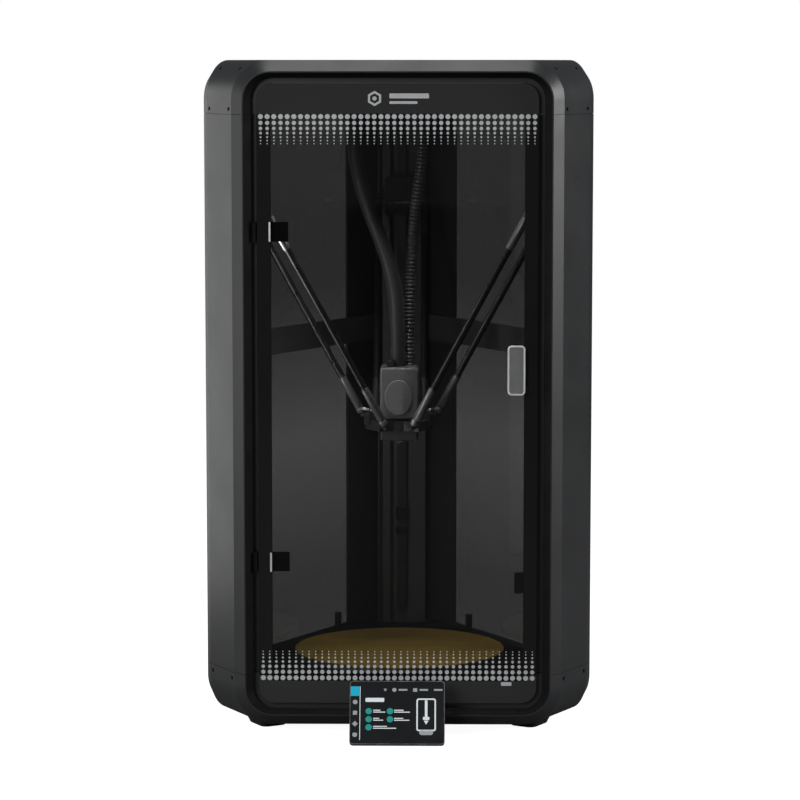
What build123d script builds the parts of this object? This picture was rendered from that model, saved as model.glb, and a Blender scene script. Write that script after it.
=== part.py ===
"""Enclosed delta 3D printer, in millimetres.

The body is a hexagonal prism: three wide faces (the glass door in front, a window on each side) and
three narrow column strips (front left, front right and rear). +Z is up and -Y is the door side.
The origin is the centre of the footprint, on the surface that the feet stand on.
The delta axis is the vertical line through AXIS_POINT.
"""
from build123d import *
from math import cos, pi, radians, sin, sqrt, tan
import os

os.makedirs("parts", exist_ok=True)

# ---- driving dimensions -------------------------------------------------------------------
LONG_FACE = 405.0          # width of a door or window face, from corner to corner
SHORT_FACE = 68.5          # width of a column strip
BODY_BOTTOM = 12.0
BODY_TOP = 832.0
LOWER_SEAM = 77.0          # bottom frame meets the columns
UPPER_SEAM = 766.0         # columns meet the top frame
CORNER_RADIUS = 48.0       # corners of the faces, seen square on
WALL = 3.0
RING_PROUD = 13.5          # each wide face has a ring that stands this far out
RING_CREST = 15.0          # from the face's edge to the inner edge of the crest
POCKET_SIDE = 24.0         # from the face's edge to the pocket that holds the pane
POCKET_END = 21.0          # the same, at the top and bottom
BEVEL_DEPTH = 7.5
PANE_WIDTH = 344.0
PANE_BOTTOM = 39.5
PANE_TOP = 804.5
PANE_RADIUS = 20.0
PANE_THICKNESS = 4.0
PANE_BACK = 2.0            # back of the pane, in front of the wide face's plane
DOOR_FLANGE = 47.5         # column flange beside the door, from the corner
WINDOW_FLANGE = 80.0       # column flange beside a window, from the corner
FLANGE_SETBACK = 3.0       # the door flanges lie back, to clear the hinge leaves
SCREEN_FRONT = 230.0       # front edge of the touch screen, from the delta axis

PLATE_RADIUS = 134.7
PLATE_TOP = 78.3
BALL_HEIGHT = 369.0        # ball joints of the print head, at rest
HEAD_BALL_RADIUS = 36.5
CARRIAGE_BALL_RADIUS = 207.0
ARM_LENGTH = 330.0         # ball centre to ball centre
ARM_SPREAD = 30.5          # each ball, from the middle of its pair
OUTER_SIDE = {210: -1, 330: 1}   # rearward ball of each front pair, by its tower's turn
OUTER_RAISE = 11.0         # that ball sits this much higher than the other
RAIL_FACE = 226.0          # inner face of the tower profiles, from the axis
PROFILE_DEPTH = 20.0
PROFILE_WIDTH = 64.0
BELT_CENTRE = 22.5         # middle of the belt loop, beside the rail
PULLEY_RADIUS = 6.4
DRIVE_HEIGHT = 41.0
IDLER_HEIGHT = 792.0
GAP = 0.3                  # between pieces on different joints

# ---- worked-out dimensions ----------------------------------------------------------------
LONG_REACH = (LONG_FACE + 2 * SHORT_FACE) / (2 * sqrt(3))    # axis to a wide face
SHORT_REACH = (2 * LONG_FACE + SHORT_FACE) / (2 * sqrt(3))   # axis to a column strip
AXIS_Y = (SCREEN_FRONT - SHORT_REACH) / 2
AXIS_POINT = Vector(0, AXIS_Y, 0)
BODY_HEIGHT = BODY_TOP - BODY_BOTTOM
BODY_MIDDLE = (BODY_TOP + BODY_BOTTOM) / 2
PANE_MIDDLE = (PANE_TOP + PANE_BOTTOM) / 2
ARM_RISE = sqrt(ARM_LENGTH**2 - (CARRIAGE_BALL_RADIUS - HEAD_BALL_RADIUS) ** 2)
CARRIAGE_HEIGHT = BALL_HEIGHT + ARM_RISE
DOOR_TURN = -90
WINDOW_TURNS = {"left": 150, "right": 30}
COLUMN_TURNS = {"front_left": 210, "front_right": 330, "rear": 90}


def wall_plane(turn, reach, height=0.0):
    """A vertical plane that faces outwards: X runs to the right seen from outside, Y is up."""
    outward = Vector(1, 0, 0).rotate(Axis.Z, turn)
    sideways = Vector(0, 1, 0).rotate(Axis.Z, turn)
    return Plane(AXIS_POINT + outward * reach + Vector(0, 0, height), x_dir=sideways, z_dir=outward)


def floor_plane(height, turn=0):
    """A level plane on the delta axis whose X runs outwards along a turn."""
    outward = Vector(1, 0, 0).rotate(Axis.Z, turn)
    return Plane(AXIS_POINT + Vector(0, 0, height), x_dir=outward, z_dir=(0, 0, 1))


def body_block(inset):
    """The hexagonal body shrunk by an inset; its column strips bend over at the top and bottom."""
    reach = SHORT_REACH - inset
    bend_z = CORNER_RADIUS - inset
    bend_x = bend_z * cos(pi / 6)
    low = BODY_BOTTOM + inset
    high = BODY_TOP - inset
    back = -(LONG_REACH - inset)
    with BuildPart() as block:
        for index, turn in enumerate(COLUMN_TURNS.values()):
            outward = Vector(1, 0, 0).rotate(Axis.Z, turn)
            across = Vector(0, -1, 0).rotate(Axis.Z, turn)
            with BuildSketch(Plane(AXIS_POINT, x_dir=outward, z_dir=across)):
                with BuildLine():
                    Polyline((reach - bend_x, low), (back, low), (back, high), (reach - bend_x, high))
                    Line((reach, low + bend_z), (reach, high - bend_z))
                    EllipticalCenterArc((reach - bend_x, low + bend_z), bend_x, bend_z, 270)
                    EllipticalCenterArc((reach - bend_x, high - bend_z), bend_x, bend_z, 0)
                make_face()
            extrude(amount=LONG_FACE, both=True, mode=Mode.ADD if index == 0 else Mode.INTERSECT)
    return block.part


def hexagon(inset, strip_inset=None):
    """Corner points of the body's hexagon, shrunk at its wide faces and at its column strips."""
    long_reach = LONG_REACH - inset
    short_reach = SHORT_REACH - (inset if strip_inset is None else strip_inset)
    corners = []
    for turn in COLUMN_TURNS.values():
        half = (2 * long_reach - short_reach) / sqrt(3)
        outward = Vector(short_reach, 0).rotate(Axis.Z, turn)
        for side in (-half, half):
            corners.append(outward + Vector(0, side).rotate(Axis.Z, turn))
    return corners


def export(block, label):
    """Write a finished piece."""
    block.part.label = label
    export_step(block.part, f"parts/{label}.step")


# ---- shell: rings, frames and columns -------------------------------------------------------
def shell_block():
    """The whole outer shell before it is cut at the seams."""
    outer = body_block(0)
    cavity = body_block(WALL)
    with BuildPart() as shell:
        add(outer)
        for turn in (DOOR_TURN, *WINDOW_TURNS.values()):
            with BuildSketch(wall_plane(turn, LONG_REACH, BODY_MIDDLE)):
                RectangleRounded(LONG_FACE, BODY_HEIGHT, CORNER_RADIUS)
            with BuildSketch(wall_plane(turn, LONG_REACH + RING_PROUD, BODY_MIDDLE)):
                RectangleRounded(LONG_FACE - 2 * RING_PROUD, BODY_HEIGHT - 2 * RING_PROUD,
                                 CORNER_RADIUS - RING_PROUD)
            loft()
        add(cavity, mode=Mode.SUBTRACT)
        for turn in (DOOR_TURN, *WINDOW_TURNS.values()):
            bevel_foot = wall_plane(turn, LONG_REACH + RING_PROUD - BEVEL_DEPTH, BODY_MIDDLE)
            with BuildSketch(bevel_foot):
                RectangleRounded(LONG_FACE - 2 * POCKET_SIDE, BODY_HEIGHT - 2 * POCKET_END, 26)
            with BuildSketch(wall_plane(turn, LONG_REACH + RING_PROUD, BODY_MIDDLE)):
                RectangleRounded(LONG_FACE - 2 * RING_CREST, BODY_HEIGHT - 2 * RING_CREST, 33)
            loft(mode=Mode.SUBTRACT)
            with BuildSketch(bevel_foot):
                RectangleRounded(LONG_FACE - 2 * POCKET_SIDE, BODY_HEIGHT - 2 * POCKET_END, 26)
            extrude(amount=-(RING_PROUD - BEVEL_DEPTH), mode=Mode.SUBTRACT)
            flange = DOOR_FLANGE if turn == DOOR_TURN else WINDOW_FLANGE
            with BuildSketch(wall_plane(turn, LONG_REACH, (LOWER_SEAM + UPPER_SEAM) / 2)):
                Rectangle(LONG_FACE - 2 * flange, UPPER_SEAM - LOWER_SEAM)
            extrude(amount=-2 * WALL, mode=Mode.SUBTRACT)
    return shell.part


shell = shell_block()
WIDE = 2 * SHORT_REACH + 40
BAY_LIP = (18.0, 54.0)     # lip of the bottom frame at the wide faces and at the strips
ROOF_LIP = (36.0, 54.0)    # lip of the top frame round the roof cover
LIP_OVERLAP = 6.0
SEAM_LINE = 0.4            # visible joint line between frames and columns


def screw_spots():
    """Outward turn, reach, height and tilt of the screws in the column strips' ends."""
    spots = []
    bend_x = CORNER_RADIUS * cos(pi / 6)
    tilt = radians(52)
    slope = bend_x * (1 - cos(tilt))
    drop = CORNER_RADIUS * (1 - sin(tilt))
    angle = 90 - Vector(cos(tilt) / bend_x, sin(tilt) / CORNER_RADIUS).get_angle(Vector(0, 1))
    for turn in COLUMN_TURNS.values():
        for side in (-27.0, 27.0):
            spots.append((turn, SHORT_REACH, BODY_TOP - 59.4, side, 0))
            spots.append((turn, SHORT_REACH, BODY_BOTTOM + 57.0, side, 0))
            spots.append((turn, SHORT_REACH - slope, BODY_TOP - drop, side, angle))
            spots.append((turn, SHORT_REACH - slope, BODY_BOTTOM + drop, side, -angle))
    return spots


SCREW_HOLE = 2.6
SCREW_HEAD = 2.4


def screw_plane(spot, depth):
    """The plane of one screw's head, sunk below the strip's surface."""
    turn, reach, height, side, angle = spot
    strip = wall_plane(turn, reach, height)
    origin = strip.origin + strip.x_dir * side
    outward = strip.z_dir.rotate(Axis((0, 0, 0), tuple(strip.x_dir)), -angle)
    return Plane(origin - outward * depth, x_dir=strip.x_dir, z_dir=outward)


with BuildPart() as bottom_frame:
    add(shell)
    with BuildSketch(floor_plane(LOWER_SEAM - SEAM_LINE)):
        Rectangle(WIDE, WIDE)
    extrude(amount=BODY_TOP, mode=Mode.SUBTRACT)
    with BuildSketch(floor_plane(0)):
        with BuildLine():
            Polyline(*hexagon(*BAY_LIP), close=True)
        make_face()
    extrude(amount=BODY_BOTTOM + WALL, mode=Mode.SUBTRACT)
    for spot in screw_spots():
        if spot[2] < BODY_MIDDLE:
            with BuildSketch(screw_plane(spot, -2)):
                Circle(SCREW_HOLE)
            extrude(amount=-7, mode=Mode.SUBTRACT)
    with BuildSketch(wall_plane(WINDOW_TURNS["left"], LONG_REACH, 51)):
        with Locations((-60, 0)):
            Rectangle(48, 26)
    extrude(amount=-10, both=True, mode=Mode.SUBTRACT)
export(bottom_frame, "bottom_frame")

with BuildPart() as top_frame:
    add(shell)
    with BuildSketch(floor_plane(UPPER_SEAM + SEAM_LINE)):
        Rectangle(WIDE, WIDE)
    extrude(amount=-BODY_TOP, mode=Mode.SUBTRACT)
    with BuildSketch(floor_plane(BODY_TOP - WALL)):
        with BuildLine():
            Polyline(*hexagon(*ROOF_LIP), close=True)
        make_face()
    extrude(amount=2 * WALL, mode=Mode.SUBTRACT)
    for spot in screw_spots():
        if spot[2] > BODY_MIDDLE:
            with BuildSketch(screw_plane(spot, -2)):
                Circle(SCREW_HOLE)
            extrude(amount=-7, mode=Mode.SUBTRACT)
export(top_frame, "top_frame")

for column_name, column_turn in COLUMN_TURNS.items():
    with BuildPart() as column:
        add(shell)
        with BuildSketch(floor_plane(LOWER_SEAM)):
            Rectangle(WIDE, WIDE)
        extrude(amount=-LOWER_SEAM, mode=Mode.SUBTRACT)
        with BuildSketch(floor_plane(UPPER_SEAM)):
            Rectangle(WIDE, WIDE)
        extrude(amount=BODY_TOP, mode=Mode.SUBTRACT)
        with BuildSketch(floor_plane(LOWER_SEAM, column_turn)):
            with Locations((SHORT_REACH, 0)):
                Rectangle(SHORT_REACH, SHORT_REACH)
        extrude(amount=UPPER_SEAM - LOWER_SEAM, mode=Mode.INTERSECT)
        # the flange beside the door lies back from the wide face's plane
        with BuildSketch(wall_plane(DOOR_TURN, LONG_REACH, (LOWER_SEAM + UPPER_SEAM) / 2)):
            Rectangle(LONG_FACE - 2 * POCKET_SIDE, UPPER_SEAM - LOWER_SEAM)
        extrude(amount=-FLANGE_SETBACK, mode=Mode.SUBTRACT)
        if column_name != "rear":
            side = -1 if column_name == "front_left" else 1
            middle = side * (LONG_FACE / 2 - (POCKET_SIDE + DOOR_FLANGE) / 2)
            with BuildSketch(wall_plane(DOOR_TURN, LONG_REACH - FLANGE_SETBACK,
                                        (LOWER_SEAM + UPPER_SEAM) / 2)):
                with Locations((middle + side * 1.5, 0)):
                    Rectangle(DOOR_FLANGE - POCKET_SIDE + 3, UPPER_SEAM - LOWER_SEAM)
            extrude(amount=-WALL)
    export(column, f"column_{column_name}")

# ---- panels ---------------------------------------------------------------------------------
PAN_THICKNESS = 2.0
PAN_TOP = BODY_BOTTOM + WALL + PAN_THICKNESS
DECK_TOP = 72.0
WELL_RADIUS = 136.0
WELL_FLOOR = 61.3

with BuildPart() as base_pan:
    with BuildSketch(floor_plane(PAN_TOP - PAN_THICKNESS)):
        with BuildLine():
            Polyline(*hexagon(*[lip - LIP_OVERLAP for lip in BAY_LIP]), close=True)
        make_face()
        with PolarLocations(120, 3, start_angle=30):
            SlotOverall(40, 4, mode=Mode.SUBTRACT)
    extrude(amount=PAN_THICKNESS)
export(base_pan, "base_pan")

with BuildPart() as base_deck:
    with BuildSketch(floor_plane(DECK_TOP - PAN_THICKNESS)):
        with BuildLine():
            Polyline(*hexagon(WALL + 1), close=True)
        make_face()
        Circle(WELL_RADIUS, mode=Mode.SUBTRACT)
    extrude(amount=PAN_THICKNESS)
    with BuildSketch(floor_plane(WELL_FLOOR - PAN_THICKNESS)):
        Circle(WELL_RADIUS + PAN_THICKNESS)
    extrude(amount=DECK_TOP - WELL_FLOOR)
    with BuildSketch(floor_plane(WELL_FLOOR)):
        Circle(WELL_RADIUS)
    extrude(amount=DECK_TOP, mode=Mode.SUBTRACT)
    # slots that the towers and their belts pass through
    for turn in COLUMN_TURNS.values():
        with BuildSketch(floor_plane(DECK_TOP - PAN_THICKNESS, turn)):
            with Locations((SHORT_REACH - 20, 0)):
                Rectangle(46, PROFILE_WIDTH + 1)
        extrude(amount=PAN_THICKNESS, mode=Mode.SUBTRACT)
export(base_deck, "base_deck")

with BuildPart() as roof_cover:
    with BuildSketch(floor_plane(BODY_TOP - WALL)):
        with BuildLine():
            Polyline(*hexagon(*[lip + 0.5 for lip in ROOF_LIP]), close=True)
        make_face()
    extrude(amount=WALL)
    with BuildSketch(floor_plane(BODY_TOP - 2 * WALL)):
        with BuildLine():
            Polyline(*hexagon(*[lip - LIP_OVERLAP for lip in ROOF_LIP]), close=True)
        make_face()
    extrude(amount=WALL)
export(roof_cover, "roof_cover")

CEILING_HEIGHT = 770.0
SLEEVE_EXIT = (-58.0, 12.0)      # where the hoses leave the ceiling, from the delta axis
HOSE_EXIT = (30.0, 30.0)
GLAND_HOLE = 12.0
with BuildPart() as ceiling_panel:
    with BuildSketch(floor_plane(CEILING_HEIGHT)):
        with BuildLine():
            Polyline(*hexagon(WALL + 1), close=True)
        make_face()
    extrude(amount=PAN_THICKNESS)
    for turn in COLUMN_TURNS.values():
        with BuildSketch(floor_plane(CEILING_HEIGHT, turn)):
            with Locations((SHORT_REACH - 26, 0)):
                Rectangle(58, PROFILE_WIDTH + 10)
        extrude(amount=PAN_THICKNESS, mode=Mode.SUBTRACT)
    with BuildSketch(Plane(AXIS_POINT + Vector(0, 0, CEILING_HEIGHT))):
        with Locations(SLEEVE_EXIT, HOSE_EXIT):
            Circle(GLAND_HOLE)
    extrude(amount=PAN_THICKNESS, mode=Mode.SUBTRACT)
export(ceiling_panel, "ceiling_panel")

WINDOW_BOTTOM = 70.0
WINDOW_TOP = 773.0
for window_name, window_turn in WINDOW_TURNS.items():
    with BuildPart() as window:
        with BuildSketch(wall_plane(window_turn, LONG_REACH, (WINDOW_BOTTOM + WINDOW_TOP) / 2)):
            RectangleRounded(PANE_WIDTH, WINDOW_TOP - WINDOW_BOTTOM, PANE_RADIUS)
        extrude(amount=PANE_THICKNESS)
    export(window, f"side_window_{window_name}")

CLIP_SPOTS = {"left": -90.0, "right": 77.0}   # from the middle of each window
with BuildPart() as window_clips:
    for window_name, window_turn in WINDOW_TURNS.items():
        with BuildSketch(wall_plane(window_turn, LONG_REACH - WALL - 1, DECK_TOP + 12)):
            with Locations((CLIP_SPOTS[window_name], 0)):
                RectangleRounded(7, 24, 2)
        extrude(amount=-6)
export(window_clips, "window_clips")

BRACE_HEIGHT = 34.0
BRACE_MIDDLE = 473.0
BRACE_FRONT = 55.0         # ends of a brace, from the corners of its face
BRACE_REAR = 15.0
for window_name, window_turn in WINDOW_TURNS.items():
    side = -1 if window_name == "left" else 1
    with BuildPart() as brace:
        with BuildSketch(wall_plane(window_turn, LONG_REACH - WALL, BRACE_MIDDLE)):
            with Locations((side * (BRACE_FRONT - BRACE_REAR) / 2, 0)):
                Rectangle(LONG_FACE - BRACE_FRONT - BRACE_REAR, BRACE_HEIGHT)
        extrude(amount=-4)
    export(brace, f"brace_{window_name}")

# ---- feet -----------------------------------------------------------------------------------
FOOT_REACH = SHORT_REACH - 63.0
FOOT_LENGTH = 44.0
FOOT_DEPTH = 34.0
with BuildPart() as feet:
    for turn in COLUMN_TURNS.values():
        with BuildSketch(floor_plane(0, turn)):
            with Locations((FOOT_REACH, 0)):
                RectangleRounded(FOOT_DEPTH, FOOT_LENGTH, 9)
        with BuildSketch(floor_plane(BODY_BOTTOM, turn)):
            with Locations((FOOT_REACH, 0)):
                RectangleRounded(FOOT_DEPTH + 10, FOOT_LENGTH + 12, 12)
        loft()
export(feet, "feet")

# ---- towers ---------------------------------------------------------------------------------
RAIL_WIDTH = 12.0
RAIL_HEIGHT = 8.0
RAIL_BOTTOM = 90.0
RAIL_TOP = 764.0
PROFILE_BOTTOM = 42.0
PROFILE_TOP = 800.0

with BuildPart() as tower_profiles:
    for turn in COLUMN_TURNS.values():
        with BuildSketch(floor_plane(PROFILE_BOTTOM, turn)):
            with Locations((RAIL_FACE + PROFILE_DEPTH / 2, 0)):
                Rectangle(PROFILE_DEPTH, PROFILE_WIDTH)
            for groove in (-22.0, 22.0):
                with Locations((RAIL_FACE + PROFILE_DEPTH - 3, groove)):
                    Rectangle(6, 8, mode=Mode.SUBTRACT)
            for bore in (-22.0, 0.0, 22.0):
                with Locations((RAIL_FACE + 7, bore)):
                    Circle(2.5, mode=Mode.SUBTRACT)
        extrude(amount=PROFILE_TOP - PROFILE_BOTTOM)
export(tower_profiles, "tower_profiles")

with BuildPart() as linear_rails:
    for turn in COLUMN_TURNS.values():
        with BuildSketch(floor_plane(RAIL_BOTTOM, turn)):
            with Locations((RAIL_FACE - RAIL_HEIGHT / 2, 0)):
                Rectangle(RAIL_HEIGHT, RAIL_WIDTH)
            for flank in (-RAIL_WIDTH / 2, RAIL_WIDTH / 2):
                with Locations((RAIL_FACE - RAIL_HEIGHT / 2, flank)):
                    Circle(1.2, mode=Mode.SUBTRACT)
        extrude(amount=RAIL_TOP - RAIL_BOTTOM)
export(linear_rails, "linear_rails")

MOTOR_SIZE = 42.3
MOTOR_LENGTH = 40.0
MOTOR_FACE = 211.0         # motor's front flange, from the axis
SHAFT_RADIUS = 2.5
PULLEY_INNER = 215.0       # span of the pulleys along their shafts, from the axis
PULLEY_OUTER = 224.4
BELT_WIDTH = 6.0
BELT_THICKNESS = 1.4

with BuildPart() as drive_motors:
    for turn in COLUMN_TURNS.values():
        with BuildSketch(wall_plane(turn, MOTOR_FACE, DRIVE_HEIGHT)):
            with Locations((BELT_CENTRE, 0)):
                body = Rectangle(MOTOR_SIZE, MOTOR_SIZE)
            chamfer(body.vertices(), 4.5)
        extrude(amount=-MOTOR_LENGTH)
        with BuildSketch(wall_plane(turn, MOTOR_FACE, DRIVE_HEIGHT)):
            with Locations((BELT_CENTRE, 0)):
                Circle(11)
                Circle(SHAFT_RADIUS + 0.1, mode=Mode.SUBTRACT)
        extrude(amount=2)
        with BuildSketch(wall_plane(turn, MOTOR_FACE, DRIVE_HEIGHT)):
            with Locations((BELT_CENTRE, 0)):
                Circle(SHAFT_RADIUS + 0.1)
        extrude(amount=-20, mode=Mode.SUBTRACT)
export(drive_motors, "drive_motors")

BELT_INSIDE = PULLEY_RADIUS + GAP
with BuildPart() as drive_belts:
    for turn in COLUMN_TURNS.values():
        loop_plane = wall_plane(turn, PULLEY_INNER + 1.7, (DRIVE_HEIGHT + IDLER_HEIGHT) / 2)
        span = IDLER_HEIGHT - DRIVE_HEIGHT
        with BuildSketch(loop_plane):
            with Locations((BELT_CENTRE, 0)):
                SlotCenterToCenter(span, 2 * (BELT_INSIDE + BELT_THICKNESS), rotation=90)
                SlotCenterToCenter(span, 2 * BELT_INSIDE, rotation=90, mode=Mode.SUBTRACT)
        extrude(amount=BELT_WIDTH)
export(drive_belts, "drive_belts")

with BuildPart() as idler_axles:
    for turn in COLUMN_TURNS.values():
        with BuildSketch(wall_plane(turn, RAIL_FACE, IDLER_HEIGHT)):
            with Locations((BELT_CENTRE, 0)):
                Circle(2.5)
        extrude(amount=-(RAIL_FACE - PULLEY_INNER + 2))
        with BuildSketch(wall_plane(turn, PULLEY_INNER - 0.5, IDLER_HEIGHT)):
            with Locations((BELT_CENTRE, 0)):
                Circle(4)
        extrude(amount=-3)
export(idler_axles, "idler_axles")


def pulley_block(turn, height, bore, shaft_length):
    """A toothed pulley between two flanges; a drive pulley also carries the motor's shaft."""
    with BuildPart() as pulley:
        for start, end, radius in ((PULLEY_INNER, PULLEY_INNER + 1.3, PULLEY_RADIUS + 2),
                                   (PULLEY_INNER + 1.3, PULLEY_OUTER - 1.3, PULLEY_RADIUS),
                                   (PULLEY_OUTER - 1.3, PULLEY_OUTER, PULLEY_RADIUS + 2)):
            with BuildSketch(wall_plane(turn, start, height)):
                with Locations((BELT_CENTRE, 0)):
                    Circle(radius)
                    if radius == PULLEY_RADIUS:
                        with PolarLocations(PULLEY_RADIUS, 20):
                            Circle(0.45, mode=Mode.SUBTRACT)
                    if bore:
                        Circle(bore, mode=Mode.SUBTRACT)
            extrude(amount=end - start)
        if shaft_length:
            with BuildSketch(wall_plane(turn, PULLEY_OUTER, height)):
                with Locations((BELT_CENTRE, 0)):
                    Circle(SHAFT_RADIUS)
            extrude(amount=-shaft_length)
    return pulley


for column_name, column_turn in COLUMN_TURNS.items():
    drive_pulley = pulley_block(column_turn, DRIVE_HEIGHT, 0, PULLEY_OUTER - MOTOR_FACE + 19)
    export(drive_pulley, f"drive_pulley_{column_name}")
    idler_pulley = pulley_block(column_turn, IDLER_HEIGHT, 2.56, 0)
    export(idler_pulley, f"idler_pulley_{column_name}")

# ---- carriages and arms ---------------------------------------------------------------------
BLOCK_WIDTH = 27.0
BLOCK_HEIGHT = 46.0
BLOCK_FRONT = 213.0
BRACKET_BACK = 213.0
BRACKET_FRONT = 205.0
BALL_RADIUS = 4.0
STUD_RADIUS = 2.0
ARM_RADIUS = 4.2
SLEEVE_RADIUS = 5.0
SLEEVE_LENGTH = 56.0
BRACKET_WIDTH = 44.0


def stud_plane(turn, reach, height):
    """The plane across a pair of ball studs, halfway between the two balls."""
    middle = wall_plane(turn, reach, height)
    return Plane(middle.origin, x_dir=(0, 0, 1), z_dir=middle.x_dir)


def ball_spots(turn):
    """Sideways place of each ball of a pair, and how much higher it sits."""
    spots = []
    for side in (-1, 1):
        raised = OUTER_RAISE if OUTER_SIDE.get(turn) == side else 0.0
        spots.append((side * ARM_SPREAD, raised))
    return spots


for column_name, column_turn in COLUMN_TURNS.items():
    with BuildPart() as carriage:
        # rail block with its channel
        with BuildSketch(floor_plane(CARRIAGE_HEIGHT - BLOCK_HEIGHT / 2, column_turn)):
            with Locations(((BLOCK_FRONT + RAIL_FACE - 3) / 2, 0)):
                Rectangle(RAIL_FACE - 3 - BLOCK_FRONT, BLOCK_WIDTH)
            with Locations((RAIL_FACE - RAIL_HEIGHT / 2, 0)):
                Rectangle(RAIL_HEIGHT + 2 * GAP, RAIL_WIDTH + 2 * GAP, mode=Mode.SUBTRACT)
        extrude(amount=BLOCK_HEIGHT)
        # bracket
        with BuildSketch(wall_plane(column_turn, BRACKET_BACK, CARRIAGE_HEIGHT)):
            RectangleRounded(BRACKET_WIDTH, 52, 5)
        extrude(amount=-(BRACKET_BACK - BRACKET_FRONT))
        # belt clamp
        with BuildSketch(floor_plane(CARRIAGE_HEIGHT - 9, column_turn)):
            with Locations((BRACKET_BACK + 4, BELT_CENTRE - BELT_INSIDE - BELT_THICKNESS / 2)):
                Rectangle(10, 4.6)
            with Locations((BRACKET_BACK + 7, BELT_CENTRE - BELT_INSIDE - BELT_THICKNESS / 2)):
                Rectangle(8, BELT_THICKNESS + 2 * GAP, mode=Mode.SUBTRACT)
        extrude(amount=18)
        # ball studs
        for side, raised in ball_spots(column_turn):
            studs = stud_plane(column_turn, CARRIAGE_BALL_RADIUS, CARRIAGE_HEIGHT + raised)
            with BuildSketch(studs):
                Circle(STUD_RADIUS)
            extrude(amount=side)
            with Locations(studs.offset(side)):
                Sphere(BALL_RADIUS)
    export(carriage, f"carriage_{column_name}")

    with BuildPart() as arms:
        for side, raised in ball_spots(column_turn):
            upper_plane = wall_plane(column_turn, CARRIAGE_BALL_RADIUS, CARRIAGE_HEIGHT + raised)
            lower_plane = wall_plane(column_turn, HEAD_BALL_RADIUS, BALL_HEIGHT + raised)
            upper = upper_plane.origin + upper_plane.x_dir * side
            lower = lower_plane.origin + lower_plane.x_dir * side
            along = (lower - upper).normalized()
            start = BALL_RADIUS + GAP
            with BuildSketch(Plane(upper + along * start, x_dir=upper_plane.x_dir, z_dir=along)):
                Circle(ARM_RADIUS)
            extrude(amount=ARM_LENGTH - 2 * start)
            with BuildSketch(Plane(upper + along * start, x_dir=upper_plane.x_dir, z_dir=along)):
                Circle(SLEEVE_RADIUS)
            extrude(amount=SLEEVE_LENGTH)
            with BuildSketch(Plane(lower - along * start, x_dir=upper_plane.x_dir, z_dir=-along)):
                Circle(SLEEVE_RADIUS)
            extrude(amount=SLEEVE_LENGTH)
    export(arms, f"arms_{column_name}")

# ---- print head -----------------------------------------------------------------------------
HEAD_PLATE = 12.0
TAB_WIDTH = 38.0
LUG_LENGTH = 14.0          # lug that carries a raised ball's stud
LUG_RADIUS = 5.0
NOZZLE_TIP = 340.5
COVER_WIDTH = 49.0
COVER_BOTTOM = 378.0
COVER_TOP = 443.5
COVER_FRONT = 24.0
COVER_BACK = -26.0

with BuildPart() as effector_plate:
    with BuildSketch(floor_plane(BALL_HEIGHT - HEAD_PLATE / 2)):
        Circle(26)
        for turn in COLUMN_TURNS.values():
            tab = HEAD_BALL_RADIUS + 3
            with Locations(Vector(tab / 2, 0).rotate(Axis.Z, turn)):
                Rectangle(tab, TAB_WIDTH, rotation=turn)
    extrude(amount=HEAD_PLATE)
    for turn in COLUMN_TURNS.values():
        for side, raised in ball_spots(turn):
            studs = stud_plane(turn, HEAD_BALL_RADIUS, BALL_HEIGHT + raised)
            lug_start = (TAB_WIDTH / 2 - LUG_LENGTH) * side / ARM_SPREAD
            if raised:
                with BuildSketch(studs.offset(lug_start)):
                    Circle(LUG_RADIUS)
                    with Locations((-raised / 2, 0)):
                        Rectangle(raised, 2 * LUG_RADIUS)
                extrude(amount=LUG_LENGTH * side / ARM_SPREAD)
            with BuildSketch(studs.offset(lug_start)):
                Circle(STUD_RADIUS)
            extrude(amount=side - lug_start)
            with Locations(studs.offset(side)):
                Sphere(BALL_RADIUS)
export(effector_plate, "effector_plate")

with BuildPart() as hotend_cover:
    with BuildSketch(wall_plane(DOOR_TURN, COVER_BACK, (COVER_BOTTOM + COVER_TOP) / 2)):
        RectangleRounded(COVER_WIDTH, COVER_TOP - COVER_BOTTOM, 5)
    extrude(amount=COVER_FRONT - COVER_BACK)
    chamfered = hotend_cover.faces().sort_by(Axis.Z)[-1].edges().filter_by(Axis.X)
    fillet(chamfered, 3)
export(hotend_cover, "hotend_cover")

with BuildPart() as cover_badge:
    with BuildSketch(wall_plane(DOOR_TURN, COVER_FRONT, 405.5)):
        with Locations((-1, 0)):
            Ellipse(17.5, 22.5)
    extrude(amount=3)
    fillet(cover_badge.faces().sort_by(Axis.Y)[0].edges(), 1.2)
export(cover_badge, "cover_badge")

BLOCK_STEP = 12.5          # height of the heater block's wide upper part
BLOCK_FOOT = 2.5
with BuildPart() as heater_block:
    with BuildSketch(floor_plane(BALL_HEIGHT - HEAD_PLATE / 2, DOOR_TURN)):
        RectangleRounded(36, COVER_WIDTH - 0.6, 3)
    extrude(amount=-BLOCK_STEP)
    with BuildSketch(floor_plane(BALL_HEIGHT - HEAD_PLATE / 2 - BLOCK_STEP, DOOR_TURN)):
        RectangleRounded(24, 35, 2)
    extrude(amount=-BLOCK_FOOT)
export(heater_block, "heater_block")

with BuildPart() as nozzle:
    block_bottom = BALL_HEIGHT - HEAD_PLATE / 2 - BLOCK_STEP - BLOCK_FOOT
    with BuildSketch(floor_plane(block_bottom)):
        RegularPolygon(4, 6)
    extrude(amount=-2.2)
    with BuildSketch(floor_plane(block_bottom - 2.2)):
        Circle(3)
    with BuildSketch(floor_plane(NOZZLE_TIP)):
        Circle(0.6)
    loft()
export(nozzle, "nozzle")

# ---- hoses ----------------------------------------------------------------------------------
SLEEVE_DIAMETER = 19.0
HOSE_DIAMETER = 15.0


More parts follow.
